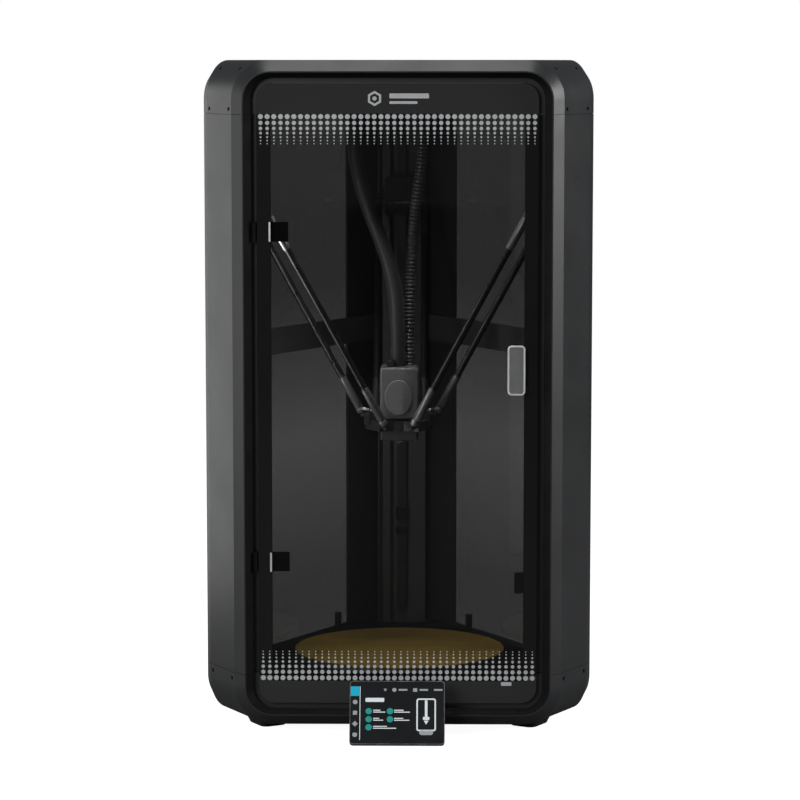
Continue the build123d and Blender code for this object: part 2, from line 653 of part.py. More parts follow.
def hose_route(points):
    """Straight runs joined by arcs as large as their runs allow, from points off the delta axis."""
    places = [AXIS_POINT + Vector(*point) for point in points]
    radii = []
    for before, corner, after in zip(places, places[1:], places[2:]):
        turned = (corner - before).get_angle(after - corner)
        run = min((corner - before).length, (after - corner).length)
        radii.append(0.45 * run / tan(radians(turned) / 2))
    return places, radii


def hose_block(points, diameter, label):
    """A round hose along a route."""
    places, radii = hose_route(points)
    print(label, "radii", [round(radius) for radius in radii])
    with BuildPart() as hose:
        with BuildLine():
            line = FilletPolyline(*places, radius=radii)
        with BuildSketch(Plane(line @ 0, z_dir=line % 0)):
            Circle(diameter / 2)
        sweep()
    section = pi * diameter**2 / 4
    print(label, "length", round(line.length, 1), "volume ratio",
          round(hose.part.volume / (section * line.length), 4))
    return hose


SLEEVE_ROUTE = [(-58, 12, CEILING_HEIGHT - 8), (-58, 12, 722), (-52, 11, 686), (-41, 9, 648),
                (-27, 6, 613), (-14, 3, 578), (-5, 0, 540), (-2, -1, 500), (-2, -1, COVER_TOP)]
HOSE_ROUTE = [(30, 30, CEILING_HEIGHT - 8), (30, 30, 726), (27, 29, 690), (21.5, 27, 655),
              (17, 23.5, 610), (14, 19.5, 565), (12.2, 16, 520), (12, 15, 480), (12, 15, COVER_TOP)]
cable_sleeve = hose_block(SLEEVE_ROUTE, SLEEVE_DIAMETER, "cable_sleeve")
export(cable_sleeve, "cable_sleeve")
air_hose = hose_block(HOSE_ROUTE, HOSE_DIAMETER, "air_hose")
export(air_hose, "air_hose")

with BuildPart() as hose_glands:
    for spot, diameter in ((SLEEVE_EXIT, SLEEVE_DIAMETER), (HOSE_EXIT, HOSE_DIAMETER)):
        with BuildSketch(Plane(AXIS_POINT + Vector(*spot, CEILING_HEIGHT - 8))):
            Circle(GLAND_HOLE + 4)
        extrude(amount=8)
        with BuildSketch(Plane(AXIS_POINT + Vector(*spot, CEILING_HEIGHT))):
            Circle(GLAND_HOLE - 0.1)
        extrude(amount=8)
        with BuildSketch(Plane(AXIS_POINT + Vector(*spot, CEILING_HEIGHT - 2))):
            Circle(diameter / 2 - 1.5)
        extrude(amount=10, mode=Mode.SUBTRACT)
export(hose_glands, "hose_glands")

BLOWER_SIZE = 76.0
BLOWER_BOTTOM = 778.0
BLOWER_HEIGHT = 32.0
IMPELLER_RADIUS = 27.0
with BuildPart() as blower_housing:
    with BuildSketch(Plane(AXIS_POINT + Vector(*HOSE_EXIT, BLOWER_BOTTOM))):
        RectangleRounded(BLOWER_SIZE, BLOWER_SIZE, 14)
    extrude(amount=BLOWER_HEIGHT)
    with BuildSketch(Plane(AXIS_POINT + Vector(*HOSE_EXIT, BLOWER_BOTTOM + 3))):
        Circle(IMPELLER_RADIUS + 5)
    extrude(amount=BLOWER_HEIGHT - 6, mode=Mode.SUBTRACT)
    with BuildSketch(Plane(AXIS_POINT + Vector(*HOSE_EXIT, BLOWER_BOTTOM + BLOWER_HEIGHT - 3))):
        Circle(20)
    extrude(amount=3, mode=Mode.SUBTRACT)
    with BuildSketch(Plane(AXIS_POINT + Vector(*HOSE_EXIT, BLOWER_BOTTOM))):
        Circle(6)
    extrude(amount=3, mode=Mode.SUBTRACT)
    with BuildSketch(Plane(AXIS_POINT + Vector(*HOSE_EXIT, BLOWER_BOTTOM))):
        with Locations((22, 22)):
            Circle(5)
    extrude(amount=-(BLOWER_BOTTOM - CEILING_HEIGHT - PAN_THICKNESS))
export(blower_housing, "blower_housing")

with BuildPart() as blower_impeller:
    with BuildSketch(Plane(AXIS_POINT + Vector(*HOSE_EXIT, BLOWER_BOTTOM + 4))):
        Circle(IMPELLER_RADIUS)
    extrude(amount=2)
    with BuildSketch(Plane(AXIS_POINT + Vector(*HOSE_EXIT, BLOWER_BOTTOM + 6))):
        Circle(10)
        with PolarLocations(IMPELLER_RADIUS - 5, 16):
            Rectangle(9, 1.2, rotation=35)
    extrude(amount=18)
export(blower_impeller, "blower_impeller")

# ---- heated bed -----------------------------------------------------------------------------
PLATE_THICKNESS = 1.0
BED_THICKNESS = 6.0
with BuildPart() as build_plate:
    with BuildSketch(floor_plane(PLATE_TOP - PLATE_THICKNESS)):
        Circle(PLATE_RADIUS)
    extrude(amount=PLATE_THICKNESS)
export(build_plate, "build_plate")

BED_BOTTOM = PLATE_TOP - PLATE_THICKNESS - BED_THICKNESS
with BuildPart() as heated_bed:
    with BuildSketch(floor_plane(BED_BOTTOM)):
        Circle(PLATE_RADIUS - 0.7)
    extrude(amount=BED_THICKNESS)
export(heated_bed, "heated_bed")

with BuildPart() as bed_insulation:
    with BuildSketch(floor_plane(WELL_FLOOR)):
        Circle(PLATE_RADIUS - 3)
    extrude(amount=BED_BOTTOM - WELL_FLOOR)
export(bed_insulation, "bed_insulation")

# ---- electronics in the base ----------------------------------------------------------------
with BuildPart() as power_supply:
    with BuildSketch(Plane(AXIS_POINT + Vector(0, 40, PAN_TOP))):
        Rectangle(215, 112)
    extrude(amount=30)
    with BuildSketch(Plane(AXIS_POINT + Vector(0, 40, PAN_TOP + 30))):
        with GridLocations(12, 30, 9, 3):
            SlotOverall(20, 4, rotation=90)
    extrude(amount=-1.5, mode=Mode.SUBTRACT)
export(power_supply, "power_supply")

with BuildPart() as control_board:
    with BuildSketch(Plane(AXIS_POINT + Vector(0, -75, PAN_TOP))):
        with GridLocations(138, 88, 2, 2):
            Circle(3)
    extrude(amount=6)
    with BuildSketch(Plane(AXIS_POINT + Vector(0, -75, PAN_TOP + 6))):
        Rectangle(150, 100)
    extrude(amount=1.6)
    with BuildSketch(Plane(AXIS_POINT + Vector(0, -75, PAN_TOP + 7.6))):
        with GridLocations(24, 0, 5, 1):
            Rectangle(15, 15)
        with Locations((0, -38), (0, 38)):
            Rectangle(120, 9)
    extrude(amount=10)
export(control_board, "control_board")

INLET_SPOT = -60.0
INLET_HEIGHT = 51.0
inlet_face = wall_plane(WINDOW_TURNS["left"], LONG_REACH, INLET_HEIGHT)
with BuildPart() as power_inlet:
    with BuildSketch(inlet_face):
        with Locations((INLET_SPOT, 0)):
            RectangleRounded(52, 30, 2)
    extrude(amount=1.6)
    with BuildSketch(inlet_face):
        with Locations((INLET_SPOT, 0)):
            Rectangle(47, 25)
    extrude(amount=-18)
    with BuildSketch(wall_plane(WINDOW_TURNS["left"], LONG_REACH + 1.6, INLET_HEIGHT)):
        with Locations((INLET_SPOT + 10, 0)):
            RectangleRounded(25, 17, 2)
    extrude(amount=-15, mode=Mode.SUBTRACT)
    with BuildSketch(wall_plane(WINDOW_TURNS["left"], LONG_REACH + 1.6 - 15, INLET_HEIGHT)):
        with Locations((INLET_SPOT + 10, -3), (INLET_SPOT + 3, 1), (INLET_SPOT + 17, 1)):
            Rectangle(2, 5)
    extrude(amount=7.5)
    with BuildSketch(wall_plane(WINDOW_TURNS["left"], LONG_REACH + 1.6, INLET_HEIGHT)):
        with Locations((INLET_SPOT - 14, 0)):
            Rectangle(13.6, 20.6)
    extrude(amount=-9, mode=Mode.SUBTRACT)
export(power_inlet, "power_inlet")

ROCKER_REACH = LONG_REACH - 2
with BuildPart() as power_rocker:
    rocker_axis = wall_plane(WINDOW_TURNS["left"], ROCKER_REACH, INLET_HEIGHT)
    with BuildSketch(Plane(rocker_axis.origin + rocker_axis.x_dir * (INLET_SPOT - 14 - 6.4),
                           x_dir=rocker_axis.z_dir, z_dir=rocker_axis.x_dir)):
        with BuildLine():
            Polyline((-3, -5), (4.0, -9.2), (5.2, -9.2), (4.2, 0), (5.2, 9.2), (4.0, 9.2), (-3, 5),
                     close=True)
        make_face()
    extrude(amount=12.8)
    with BuildSketch(Plane(rocker_axis.origin + rocker_axis.x_dir * (INLET_SPOT - 14 - 6.4),
                           x_dir=rocker_axis.z_dir, z_dir=rocker_axis.x_dir)):
        Circle(3.8)
    extrude(amount=12.8)
export(power_rocker, "power_rocker")

# ---- door -----------------------------------------------------------------------------------
HINGE_SPOT = -175.5        # hinge axis, from the door's middle line
HINGE_OUT = 7.0            # hinge axis, in front of the wide face's plane
HINGE_HEIGHTS = (216.5, 623.7)
HINGE_LENGTH = 25.0
DOOR_BOTTOM = 75.9         # the door swings over the touch screen
STRIP_TOP = 75.3
pane_back = wall_plane(DOOR_TURN, LONG_REACH + PANE_BACK, PANE_MIDDLE)
pane_below = PANE_MIDDLE - DOOR_BOTTOM
with BuildPart() as door_glass:
    with BuildSketch(pane_back):
        RectangleRounded(PANE_WIDTH, PANE_TOP - PANE_BOTTOM, PANE_RADIUS)
        with Locations((0, -pane_below - PANE_WIDTH / 2)):
            Rectangle(PANE_WIDTH, PANE_WIDTH, mode=Mode.SUBTRACT)
    extrude(amount=PANE_THICKNESS)
export(door_glass, "door_glass")

# The strip below the door continues its pane and stays on the bottom frame.
strip_above = PANE_MIDDLE - STRIP_TOP
with BuildPart() as lower_fascia:
    with BuildSketch(pane_back):
        RectangleRounded(PANE_WIDTH, PANE_TOP - PANE_BOTTOM, PANE_RADIUS)
        with Locations((0, PANE_WIDTH * 2 - strip_above)):
            Rectangle(PANE_WIDTH, PANE_WIDTH * 4, mode=Mode.SUBTRACT)
    extrude(amount=PANE_THICKNESS)
    with BuildSketch(wall_plane(DOOR_TURN, LONG_REACH, (STRIP_TOP + PANE_BOTTOM) / 2)):
        Rectangle(PANE_WIDTH - 60, 12)
    extrude(amount=PANE_BACK)
export(lower_fascia, "lower_fascia")

PIN_RADIUS = 1.5
KNUCKLE_RADIUS = 2.4
with BuildPart() as hinge_leaves:
    for height in HINGE_HEIGHTS:
        centre = AXIS_POINT + Vector(HINGE_SPOT, -(LONG_REACH + HINGE_OUT), height)
        with BuildSketch(Plane(centre - Vector(0, 0, HINGE_LENGTH / 2 - 6))):
            Circle(KNUCKLE_RADIUS)
            with Locations((1.25, 3.5)):
                Rectangle(2.1, 7)
            Circle(PIN_RADIUS + 0.05, mode=Mode.SUBTRACT)
        extrude(amount=HINGE_LENGTH - 12)
        with BuildSketch(Plane(centre - Vector(0, 0, HINGE_LENGTH / 2 - 0.5))):
            with Locations(((0.2 - 133.5 - HINGE_SPOT) / 2, HINGE_OUT - PANE_BACK + 1.5)):
                Rectangle(-133.5 - HINGE_SPOT - 0.2, 3)
        extrude(amount=HINGE_LENGTH - 1)
export(hinge_leaves, "hinge_leaves")

HANDLE_WIDTH = 21.5
HANDLE_HEIGHT = 61.0
HANDLE_SPOT = (145.3, 454.6)
handle_base = wall_plane(DOOR_TURN, LONG_REACH + PANE_BACK + PANE_THICKNESS, HANDLE_SPOT[1])
with BuildPart() as handle_bezel:
    with BuildSketch(handle_base):
        with Locations((HANDLE_SPOT[0], 0)):
            RectangleRounded(HANDLE_WIDTH, HANDLE_HEIGHT, 5)
            RectangleRounded(HANDLE_WIDTH - 4, HANDLE_HEIGHT - 4, 3.2, mode=Mode.SUBTRACT)
    extrude(amount=6)
    fillet(handle_bezel.faces().sort_by(Axis.Y)[0].edges(), 0.7)
export(handle_bezel, "handle_bezel")

with BuildPart() as handle_grip:
    with BuildSketch(handle_base):
        with Locations((HANDLE_SPOT[0], 0)):
            RectangleRounded(HANDLE_WIDTH - 4, HANDLE_HEIGHT - 4, 3.2)
    extrude(amount=5)
export(handle_grip, "handle_grip")

SEAL_WIDTH = 2 * 160.0
SEAL_HEIGHT = 706.0
SEAL_MIDDLE = (LOWER_SEAM + UPPER_SEAM) / 2
with BuildPart() as door_seal:
    with BuildSketch(wall_plane(DOOR_TURN, LONG_REACH, SEAL_MIDDLE)):
        RectangleRounded(SEAL_WIDTH, SEAL_HEIGHT, 8)
        RectangleRounded(SEAL_WIDTH - 8, SEAL_HEIGHT - 8, 4, mode=Mode.SUBTRACT)
    extrude(amount=PANE_BACK - GAP)
    with BuildSketch(wall_plane(DOOR_TURN, LONG_REACH, SEAL_MIDDLE)):
        Rectangle(SEAL_WIDTH, UPPER_SEAM - LOWER_SEAM - 0.2)
        Rectangle(SEAL_WIDTH - 8, UPPER_SEAM - LOWER_SEAM, mode=Mode.SUBTRACT)
    extrude(amount=-FLANGE_SETBACK)
    for height in HINGE_HEIGHTS:
        with BuildSketch(wall_plane(DOOR_TURN, LONG_REACH + PANE_BACK, height)):
            with Locations((-SEAL_WIDTH / 2, 0)):
                Rectangle(20, HINGE_LENGTH + 4)
        extrude(amount=-(3 + GAP), mode=Mode.SUBTRACT)
    with BuildSketch(wall_plane(DOOR_TURN, LONG_REACH + PANE_BACK, LOWER_SEAM - 10)):
        Rectangle(SEAL_WIDTH + 2, 20)
    extrude(amount=-(PANE_BACK + FLANGE_SETBACK + 1), mode=Mode.SUBTRACT)
export(door_seal, "door_seal")

with BuildPart() as door_catch:
    with BuildSketch(wall_plane(DOOR_TURN, LONG_REACH - FLANGE_SETBACK - WALL, 190)):
        with Locations((149.5, 0)):
            RectangleRounded(11, 26, 2)
    extrude(amount=PANE_BACK + FLANGE_SETBACK + WALL - GAP)
export(door_catch, "door_catch")

# ---- touch screen ---------------------------------------------------------------------------
SCREEN_TILT = 31.0
SCREEN_WIDTH = 116.0
SCREEN_HEIGHT = 81.0
SCREEN_DEPTH = 8.5
SCREEN_LIFT = 3.6
screen_foot = AXIS_POINT + Vector(0, -SCREEN_FRONT, SCREEN_LIFT)
screen_up = Vector(0, sin(radians(SCREEN_TILT)), cos(radians(SCREEN_TILT)))
screen_out = Vector(0, -cos(radians(SCREEN_TILT)), sin(radians(SCREEN_TILT)))
screen_face = Plane(screen_foot + screen_up * (SCREEN_HEIGHT / 2), x_dir=(1, 0, 0), z_dir=screen_out)
with BuildPart() as screen_case:
    with BuildSketch(screen_face.offset(-1.2)):
        RectangleRounded(SCREEN_WIDTH, SCREEN_HEIGHT, 4)
    extrude(amount=-(SCREEN_DEPTH - 1.2))
    fillet(screen_case.faces().sort_by(Axis(screen_face.origin, -screen_face.z_dir))[-1].edges(), 2.5)
export(screen_case, "screen_case")

with BuildPart() as screen_glass:
    with BuildSketch(screen_face.offset(-1.2)):
        RectangleRounded(SCREEN_WIDTH, SCREEN_HEIGHT, 4)
    extrude(amount=1.2)
export(screen_glass, "screen_glass")

BRACKET_TOP = 24.0         # top of the bracket's lip on the back of the case
BRACKET_SHEET = 4.0


def case_back(height):
    """Distance from the delta axis to the back of the screen's case."""
    low_corner = SCREEN_LIFT - SCREEN_DEPTH * sin(radians(SCREEN_TILT))
    slope = tan(radians(SCREEN_TILT))
    return SCREEN_FRONT - SCREEN_DEPTH * cos(radians(SCREEN_TILT)) - (height - low_corner) * slope


with BuildPart() as screen_bracket:
    side_plane = Plane(AXIS_POINT - Vector(17, 0, 0), x_dir=(0, -1, 0), z_dir=(-1, 0, 0))
    bracket_bottom = BODY_BOTTOM - BRACKET_SHEET
    with BuildSketch(side_plane):
        with BuildLine():
            Polyline((LONG_REACH - 12, BODY_BOTTOM), (LONG_REACH - 12, bracket_bottom),
                     (case_back(bracket_bottom), bracket_bottom), (case_back(BRACKET_TOP), BRACKET_TOP),
                     (case_back(BRACKET_TOP) - BRACKET_SHEET, BRACKET_TOP),
                     (case_back(BODY_BOTTOM) - BRACKET_SHEET, BODY_BOTTOM), close=True)
        make_face()
    extrude(amount=-34)
export(screen_bracket, "screen_bracket")

# ---- fasteners: frame screws and hinge pins ---------------------------------------------------
with BuildPart() as frame_fasteners:
    for spot in screw_spots():
        with BuildSketch(screw_plane(spot, 0.8)):
            Circle(SCREW_HEAD)
            RegularPolygon(1.3, 6, mode=Mode.SUBTRACT)
        extrude(amount=-2.2)
        with BuildSketch(screw_plane(spot, 3.0)):
            Circle(SCREW_HEAD)
        extrude(amount=-1.5)
    for height in HINGE_HEIGHTS:
        centre = AXIS_POINT + Vector(HINGE_SPOT, -(LONG_REACH + HINGE_OUT), height)
        with BuildSketch(Plane(centre - Vector(0, 0, HINGE_LENGTH / 2))):
            Circle(PIN_RADIUS)
        extrude(amount=HINGE_LENGTH)
        for end in (-HINGE_LENGTH / 2, HINGE_LENGTH / 2 - 6 + GAP):
            with BuildSketch(Plane(centre + Vector(0, 0, end))):
                Circle(KNUCKLE_RADIUS)
                with Locations((-1.95, 1)):
                    Rectangle(2.1, 2)
            extrude(amount=6 - GAP)
export(frame_fasteners, "frame_fasteners")
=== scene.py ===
import bpy
import bmesh
from math import cos, pi, radians, sin, sqrt
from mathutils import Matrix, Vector


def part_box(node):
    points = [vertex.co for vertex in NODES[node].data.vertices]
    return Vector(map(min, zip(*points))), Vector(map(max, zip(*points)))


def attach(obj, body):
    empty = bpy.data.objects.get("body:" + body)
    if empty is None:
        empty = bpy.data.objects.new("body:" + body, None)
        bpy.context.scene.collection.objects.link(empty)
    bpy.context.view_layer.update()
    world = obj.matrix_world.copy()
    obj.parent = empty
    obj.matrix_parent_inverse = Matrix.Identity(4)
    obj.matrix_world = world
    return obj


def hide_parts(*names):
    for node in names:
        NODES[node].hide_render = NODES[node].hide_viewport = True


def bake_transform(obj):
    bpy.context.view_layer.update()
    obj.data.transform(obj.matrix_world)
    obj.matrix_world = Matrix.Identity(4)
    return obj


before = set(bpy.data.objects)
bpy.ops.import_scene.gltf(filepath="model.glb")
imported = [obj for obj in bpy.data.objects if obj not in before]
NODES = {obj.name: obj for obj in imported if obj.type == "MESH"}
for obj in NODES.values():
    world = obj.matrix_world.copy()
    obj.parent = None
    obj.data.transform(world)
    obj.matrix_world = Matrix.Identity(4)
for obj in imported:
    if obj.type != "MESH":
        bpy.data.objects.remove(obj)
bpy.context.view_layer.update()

MM = 0.001


def mm(*values):
    """A point or size given in millimetres, in metres."""
    return Vector(values) * MM


# ---- camera, lights and floor -----------------------------------------------------------------
CAMERA_SPOT = mm(50.37, -3800.73, 826.56)
CAMERA_DIP, CAMERA_TURN = 6.428, 0.7505     # degrees below level, and to the left

camera_data = bpy.data.cameras.new("camera")
camera_data.sensor_width = 36.0
camera_data.lens = 134.06
camera_data.clip_start = 0.1
camera_data.clip_end = 60.0
camera = bpy.data.objects.new("camera", camera_data)
camera.location = CAMERA_SPOT
camera.rotation_euler = (radians(90 - CAMERA_DIP), 0, radians(CAMERA_TURN))
bpy.context.scene.collection.objects.link(camera)
bpy.context.scene.camera = camera
bpy.context.scene.view_settings.view_transform = "Standard"


def studio_light(name, spot, target, size, power):
    """A soft rectangular lamp at spot, turned to face target; sizes in metres."""
    data = bpy.data.lights.new(name, "AREA")
    data.shape = "RECTANGLE"
    data.size, data.size_y = size
    data.energy = power
    lamp = bpy.data.objects.new(name, data)
    lamp.location = spot
    lamp.rotation_euler = (Vector(target) - Vector(spot)).to_track_quat("-Z", "Y").to_euler()
    lamp.visible_camera = False
    bpy.context.scene.collection.objects.link(lamp)
    return lamp


AXIS_Y = -0.0118005         # the cabinet's upright axis, in the frame's metres
AXIS = Vector((0, AXIS_Y, 0))
MIDDLE = (0, 0, 0.42)
studio_light("left_rear_light", (-0.8, 0.44, 0.50), (0, -0.02, 0.48), (0.36, 0.95), 2.3)
studio_light("left_light", (-1.7, -0.46, 0.62), MIDDLE, (0.5, 1.2), 7.2)
studio_light("right_light", (3.2, -0.5, 1.3), MIDDLE, (0.9, 1.5), 64)
studio_light("top_light", (0, -0.2, 3.4), MIDDLE, (1.6, 1.2), 26)
studio_light("front_light", (-1.9, -3.2, 1.5), MIDDLE, (1.8, 1.6), 55)
# inside the cabinet: a lamp below the ceiling and a thin upright one beside the left pillar
chamber_light = studio_light("chamber_light", (0, -0.145, 0.755), (0, -0.10, 0.08),
                             (0.24, 0.03), 0.46)
chamber_light.data.spread = radians(85)
studio_light("pillar_light", (-0.160, -0.132, 0.43), (0.05, 0.0, 0.43), (0.010, 0.44), 0.5)

world = bpy.data.worlds.new("studio")
world.use_nodes = True
bpy.context.scene.world = world
world_nodes = world.node_tree
world_nodes.nodes.clear()
seen = world_nodes.nodes.new("ShaderNodeBackground")
seen.inputs["Color"].default_value = (1, 1, 1, 1)
seen.inputs["Strength"].default_value = 1.0
lit = world_nodes.nodes.new("ShaderNodeBackground")
lit.inputs["Color"].default_value = (0.95, 0.97, 1.0, 1)
lit.inputs["Strength"].default_value = 0.10
path = world_nodes.nodes.new("ShaderNodeLightPath")
pick = world_nodes.nodes.new("ShaderNodeMixShader")
world_out = world_nodes.nodes.new("ShaderNodeOutputWorld")
world_nodes.links.new(path.outputs["Is Camera Ray"], pick.inputs[0])
world_nodes.links.new(lit.outputs[0], pick.inputs[1])
world_nodes.links.new(seen.outputs[0], pick.inputs[2])
world_nodes.links.new(pick.outputs[0], world_out.inputs[0])


# ---- materials --------------------------------------------------------------------------------
class Graph:
    """Node helpers for one material, whose textures follow the object's own coordinates."""

    def __init__(self, name):
        self.material = bpy.data.materials.new(name)
        self.material.use_nodes = True
        self.tree = self.material.node_tree
        self.shader = self.tree.nodes["Principled BSDF"]
        self.place = self.add("ShaderNodeTexCoord").outputs["Object"]

    def add(self, kind, **settings):
        node = self.tree.nodes.new(kind)
        for key, value in settings.items():
            setattr(node, key, value)
        return node

    def link(self, source, target):
        self.tree.links.new(source, target)

    def stretched(self, scale):
        """The coordinates scaled per axis, in repeats per metre."""
        mapping = self.add("ShaderNodeMapping")
        self.link(self.place, mapping.inputs["Vector"])
        mapping.inputs["Scale"].default_value = scale
        return mapping.outputs["Vector"]

    def noise(self, scale, detail=3.0, vector=None, roughness=0.55):
        node = self.add("ShaderNodeTexNoise")
        self.link(vector or self.place, node.inputs["Vector"])
        node.inputs["Scale"].default_value = scale
        node.inputs["Detail"].default_value = detail
        node.inputs["Roughness"].default_value = roughness
        return node.outputs["Fac"]

    def spread(self, value, low, high, start=0.3, end=0.7):
        node = self.add("ShaderNodeMapRange")
        self.link(value, node.inputs["Value"])
        node.inputs["From Min"].default_value = start
        node.inputs["From Max"].default_value = end
        node.inputs["To Min"].default_value = low
        node.inputs["To Max"].default_value = high
        return node.outputs["Result"]

    def blend_colours(self, factor, first, second):
        node = self.add("ShaderNodeMix", data_type="RGBA")
        self.link(factor, node.inputs["Factor"])
        for socket, colour in ((node.inputs[6], first), (node.inputs[7], second)):
            if isinstance(colour, tuple):
                socket.default_value = (*colour, 1)
            else:
                self.link(colour, socket)
        return node.outputs[2]

    def maths(self, operation, first, second=None):
        node = self.add("ShaderNodeMath", operation=operation)
        for socket, value in zip(node.inputs, (first, second)):
            if isinstance(value, (int, float)):
                socket.default_value = value
            elif value is not None:
                self.link(value, socket)
        return node.outputs[0]

    def bump(self, height, strength, distance):
        node = self.add("ShaderNodeBump")
        node.inputs["Strength"].default_value = strength
        node.inputs["Distance"].default_value = distance
        self.link(height, node.inputs["Height"])
        self.link(node.outputs["Normal"], self.shader.inputs["Normal"])
        return node

    def set(self, **values):
        for key, value in values.items():
            socket = self.shader.inputs[key.replace("_", " ").title().replace("Ior", "IOR")]
            socket.default_value = (*value, 1) if isinstance(value, tuple) else value


def finish_material(name, dark, light, rough, metal=0.0, grain=1500, bump=0.12, depth=0.00004,
                    cloud=18, stretch=None, coat=0.0, specular=0.5):
    """A surface whose colour drifts between dark and light, with fine grain and smudged gloss."""
    graph = Graph(name)
    vector = graph.stretched(stretch) if stretch else graph.place
    drift = graph.noise(cloud, 4.0)
    speckle = graph.noise(grain, 2.0, vector)
    tone = graph.maths("MULTIPLY", graph.spread(drift, 0.0, 1.0), 0.6)
    tone = graph.maths("ADD", tone, graph.maths("MULTIPLY", graph.spread(speckle, 0.0, 1.0), 0.4))
    graph.link(graph.blend_colours(tone, dark, light), graph.shader.inputs["Base Color"])
    smudge = graph.noise(cloud * 2.4, 5.0)
    graph.link(graph.spread(smudge, rough[0], rough[1]), graph.shader.inputs["Roughness"])
    graph.bump(speckle, bump, depth)
    graph.set(metallic=metal, coat_weight=coat, specular_ior_level=specular)
    return graph.material


paint = finish_material("satin_charcoal_paint", (0.021, 0.022, 0.023), (0.027, 0.028, 0.030),
                        (0.36, 0.44), grain=2200, bump=0.16, cloud=7)
panel = finish_material("satin_black_panel", (0.009, 0.009, 0.010), (0.014, 0.014, 0.015),
                        (0.42, 0.56), grain=1800, cloud=14)
plastic = finish_material("moulded_black_plastic", (0.013, 0.013, 0.014), (0.019, 0.019, 0.020),
                          (0.40, 0.52), grain=2600, bump=0.25, cloud=30)
rubber = finish_material("black_rubber", (0.012, 0.012, 0.012), (0.020, 0.020, 0.020),
                         (0.70, 0.85), grain=1400, bump=0.35, cloud=30, specular=0.3)
profile = finish_material("black_anodised_profile", (0.066, 0.066, 0.067), (0.090, 0.090, 0.092),
                          (0.34, 0.46), metal=0.3, grain=900, stretch=(1, 1, 0.02), cloud=9,
                          bump=0.03)
steel = finish_material("brushed_steel", (0.42, 0.43, 0.45), (0.60, 0.61, 0.63), (0.20, 0.34),
                        metal=1.0, grain=1600, stretch=(1, 1, 0.03), cloud=25)
dark_steel = finish_material("black_oxide_steel", (0.018, 0.018, 0.020), (0.035, 0.035, 0.038),
                             (0.30, 0.45), metal=0.7, grain=1800, cloud=60)
motor = finish_material("black_motor_case", (0.014, 0.014, 0.015), (0.022, 0.022, 0.023),
                        (0.40, 0.55), metal=0.4, grain=1400, stretch=(1, 1, 0.1), cloud=22)
pulley = finish_material("machined_aluminium", (0.52, 0.53, 0.55), (0.68, 0.69, 0.70),
                         (0.24, 0.38), metal=1.0, grain=2400, cloud=60)
arm = finish_material("satin_black_arm", (0.011, 0.011, 0.012), (0.018, 0.018, 0.019),
                      (0.24, 0.36), grain=2400, bump=0.10, cloud=40, coat=0.15)
arm_end = finish_material("satin_grey_arm_end", (0.24, 0.24, 0.245), (0.32, 0.32, 0.326),
                          (0.26, 0.36), metal=0.6, grain=2600, bump=0.06, cloud=60)
# a darker, duller black than the front carriages and arms: painted shade on the rear carriage and
# rear arms, also used for the rear stops
rear_black_with_shade = finish_material("matt_black_rear_with_painted_shade", (0.005, 0.005, 0.005), (0.009, 0.009, 0.009),
                                (0.55, 0.70), grain=1800, cloud=30, specular=0.25)
# near-black: the hinge leaves' and fasteners' own colour, and painted shade on the inner bevel bands
black_with_bevel_shade = finish_material("dull_black_with_painted_bevel_shade", (0.0025, 0.0025, 0.0025), (0.005, 0.005, 0.005),
                               (0.60, 0.75), grain=1800, bump=0.08, cloud=12, specular=0.12)
# painted highlight: a lighter grey strip standing in for light caught on the door glass's top edge
glint_paint = finish_material("painted_glint_on_glass_top", (0.09, 0.095, 0.095), (0.12, 0.125, 0.125),
                             (0.10, 0.18), grain=2400, bump=0.02, cloud=30)
brace_paint = finish_material("satin_brace_paint", (0.055, 0.056, 0.057), (0.068, 0.069, 0.071),
                              (0.36, 0.44), grain=2200, bump=0.16, cloud=7)
badge = finish_material("satin_head_badge", (0.150, 0.150, 0.153), (0.178, 0.178, 0.182),
                        (0.20, 0.30), grain=3000, bump=0.05, cloud=40, coat=0.3)
deck = finish_material("matt_black_deck", (0.0025, 0.0025, 0.0025), (0.0045, 0.0045, 0.0045),
                       (0.60, 0.75), grain=1600, cloud=14, specular=0.12)
rail_steel = finish_material("blackened_rail_steel", (0.030, 0.030, 0.032), (0.055, 0.055, 0.058),
                             (0.34, 0.48), metal=0.6, grain=1600, stretch=(1, 1, 0.03), cloud=25,
                             bump=0.03)
bezel = finish_material("satin_silver_bezel", (0.74, 0.75, 0.76), (0.84, 0.85, 0.86), (0.30, 0.42),
                        metal=0.35, grain=2000, cloud=50)
cover = finish_material("charcoal_head_cover", (0.112, 0.112, 0.115), (0.134, 0.134, 0.138),
                        (0.34, 0.44), grain=2800, bump=0.2, cloud=40)
grip = finish_material("grey_grip", (0.21, 0.21, 0.213), (0.26, 0.26, 0.264), (0.34, 0.46),
                       metal=0.3, grain=1500, bump=0.3, cloud=60)
bed_metal = finish_material("cast_aluminium", (0.35, 0.35, 0.36), (0.48, 0.48, 0.49),
                            (0.40, 0.55), metal=0.9, grain=1200, bump=0.3, cloud=12)
insulation = finish_material("insulation_felt", (0.16, 0.15, 0.13), (0.26, 0.24, 0.21),
                             (0.85, 0.98), grain=500, bump=0.8, depth=0.0004, cloud=26)
supply_case = finish_material("galvanised_sheet", (0.34, 0.35, 0.36), (0.50, 0.51, 0.52),
                              (0.34, 0.52), metal=0.9, grain=260, bump=0.1, cloud=40)
board = finish_material("green_circuit_board", (0.004, 0.045, 0.018), (0.008, 0.075, 0.030),
                        (0.30, 0.42), grain=1700, cloud=120, coat=0.3)
hot_block = finish_material("grey_silicone_sock", (0.050, 0.050, 0.051), (0.064, 0.064, 0.065),
                            (0.55, 0.70), grain=1500, bump=0.3, cloud=60)
brass = finish_material("turned_brass", (0.58, 0.42, 0.16), (0.78, 0.58, 0.26), (0.20, 0.34),
                        metal=1.0, grain=1600, cloud=80)
print_black = finish_material("printed_black_border", (0.034, 0.034, 0.035), (0.040, 0.040, 0.041),
                              (0.09, 0.15), grain=2400, bump=0.02, cloud=10)
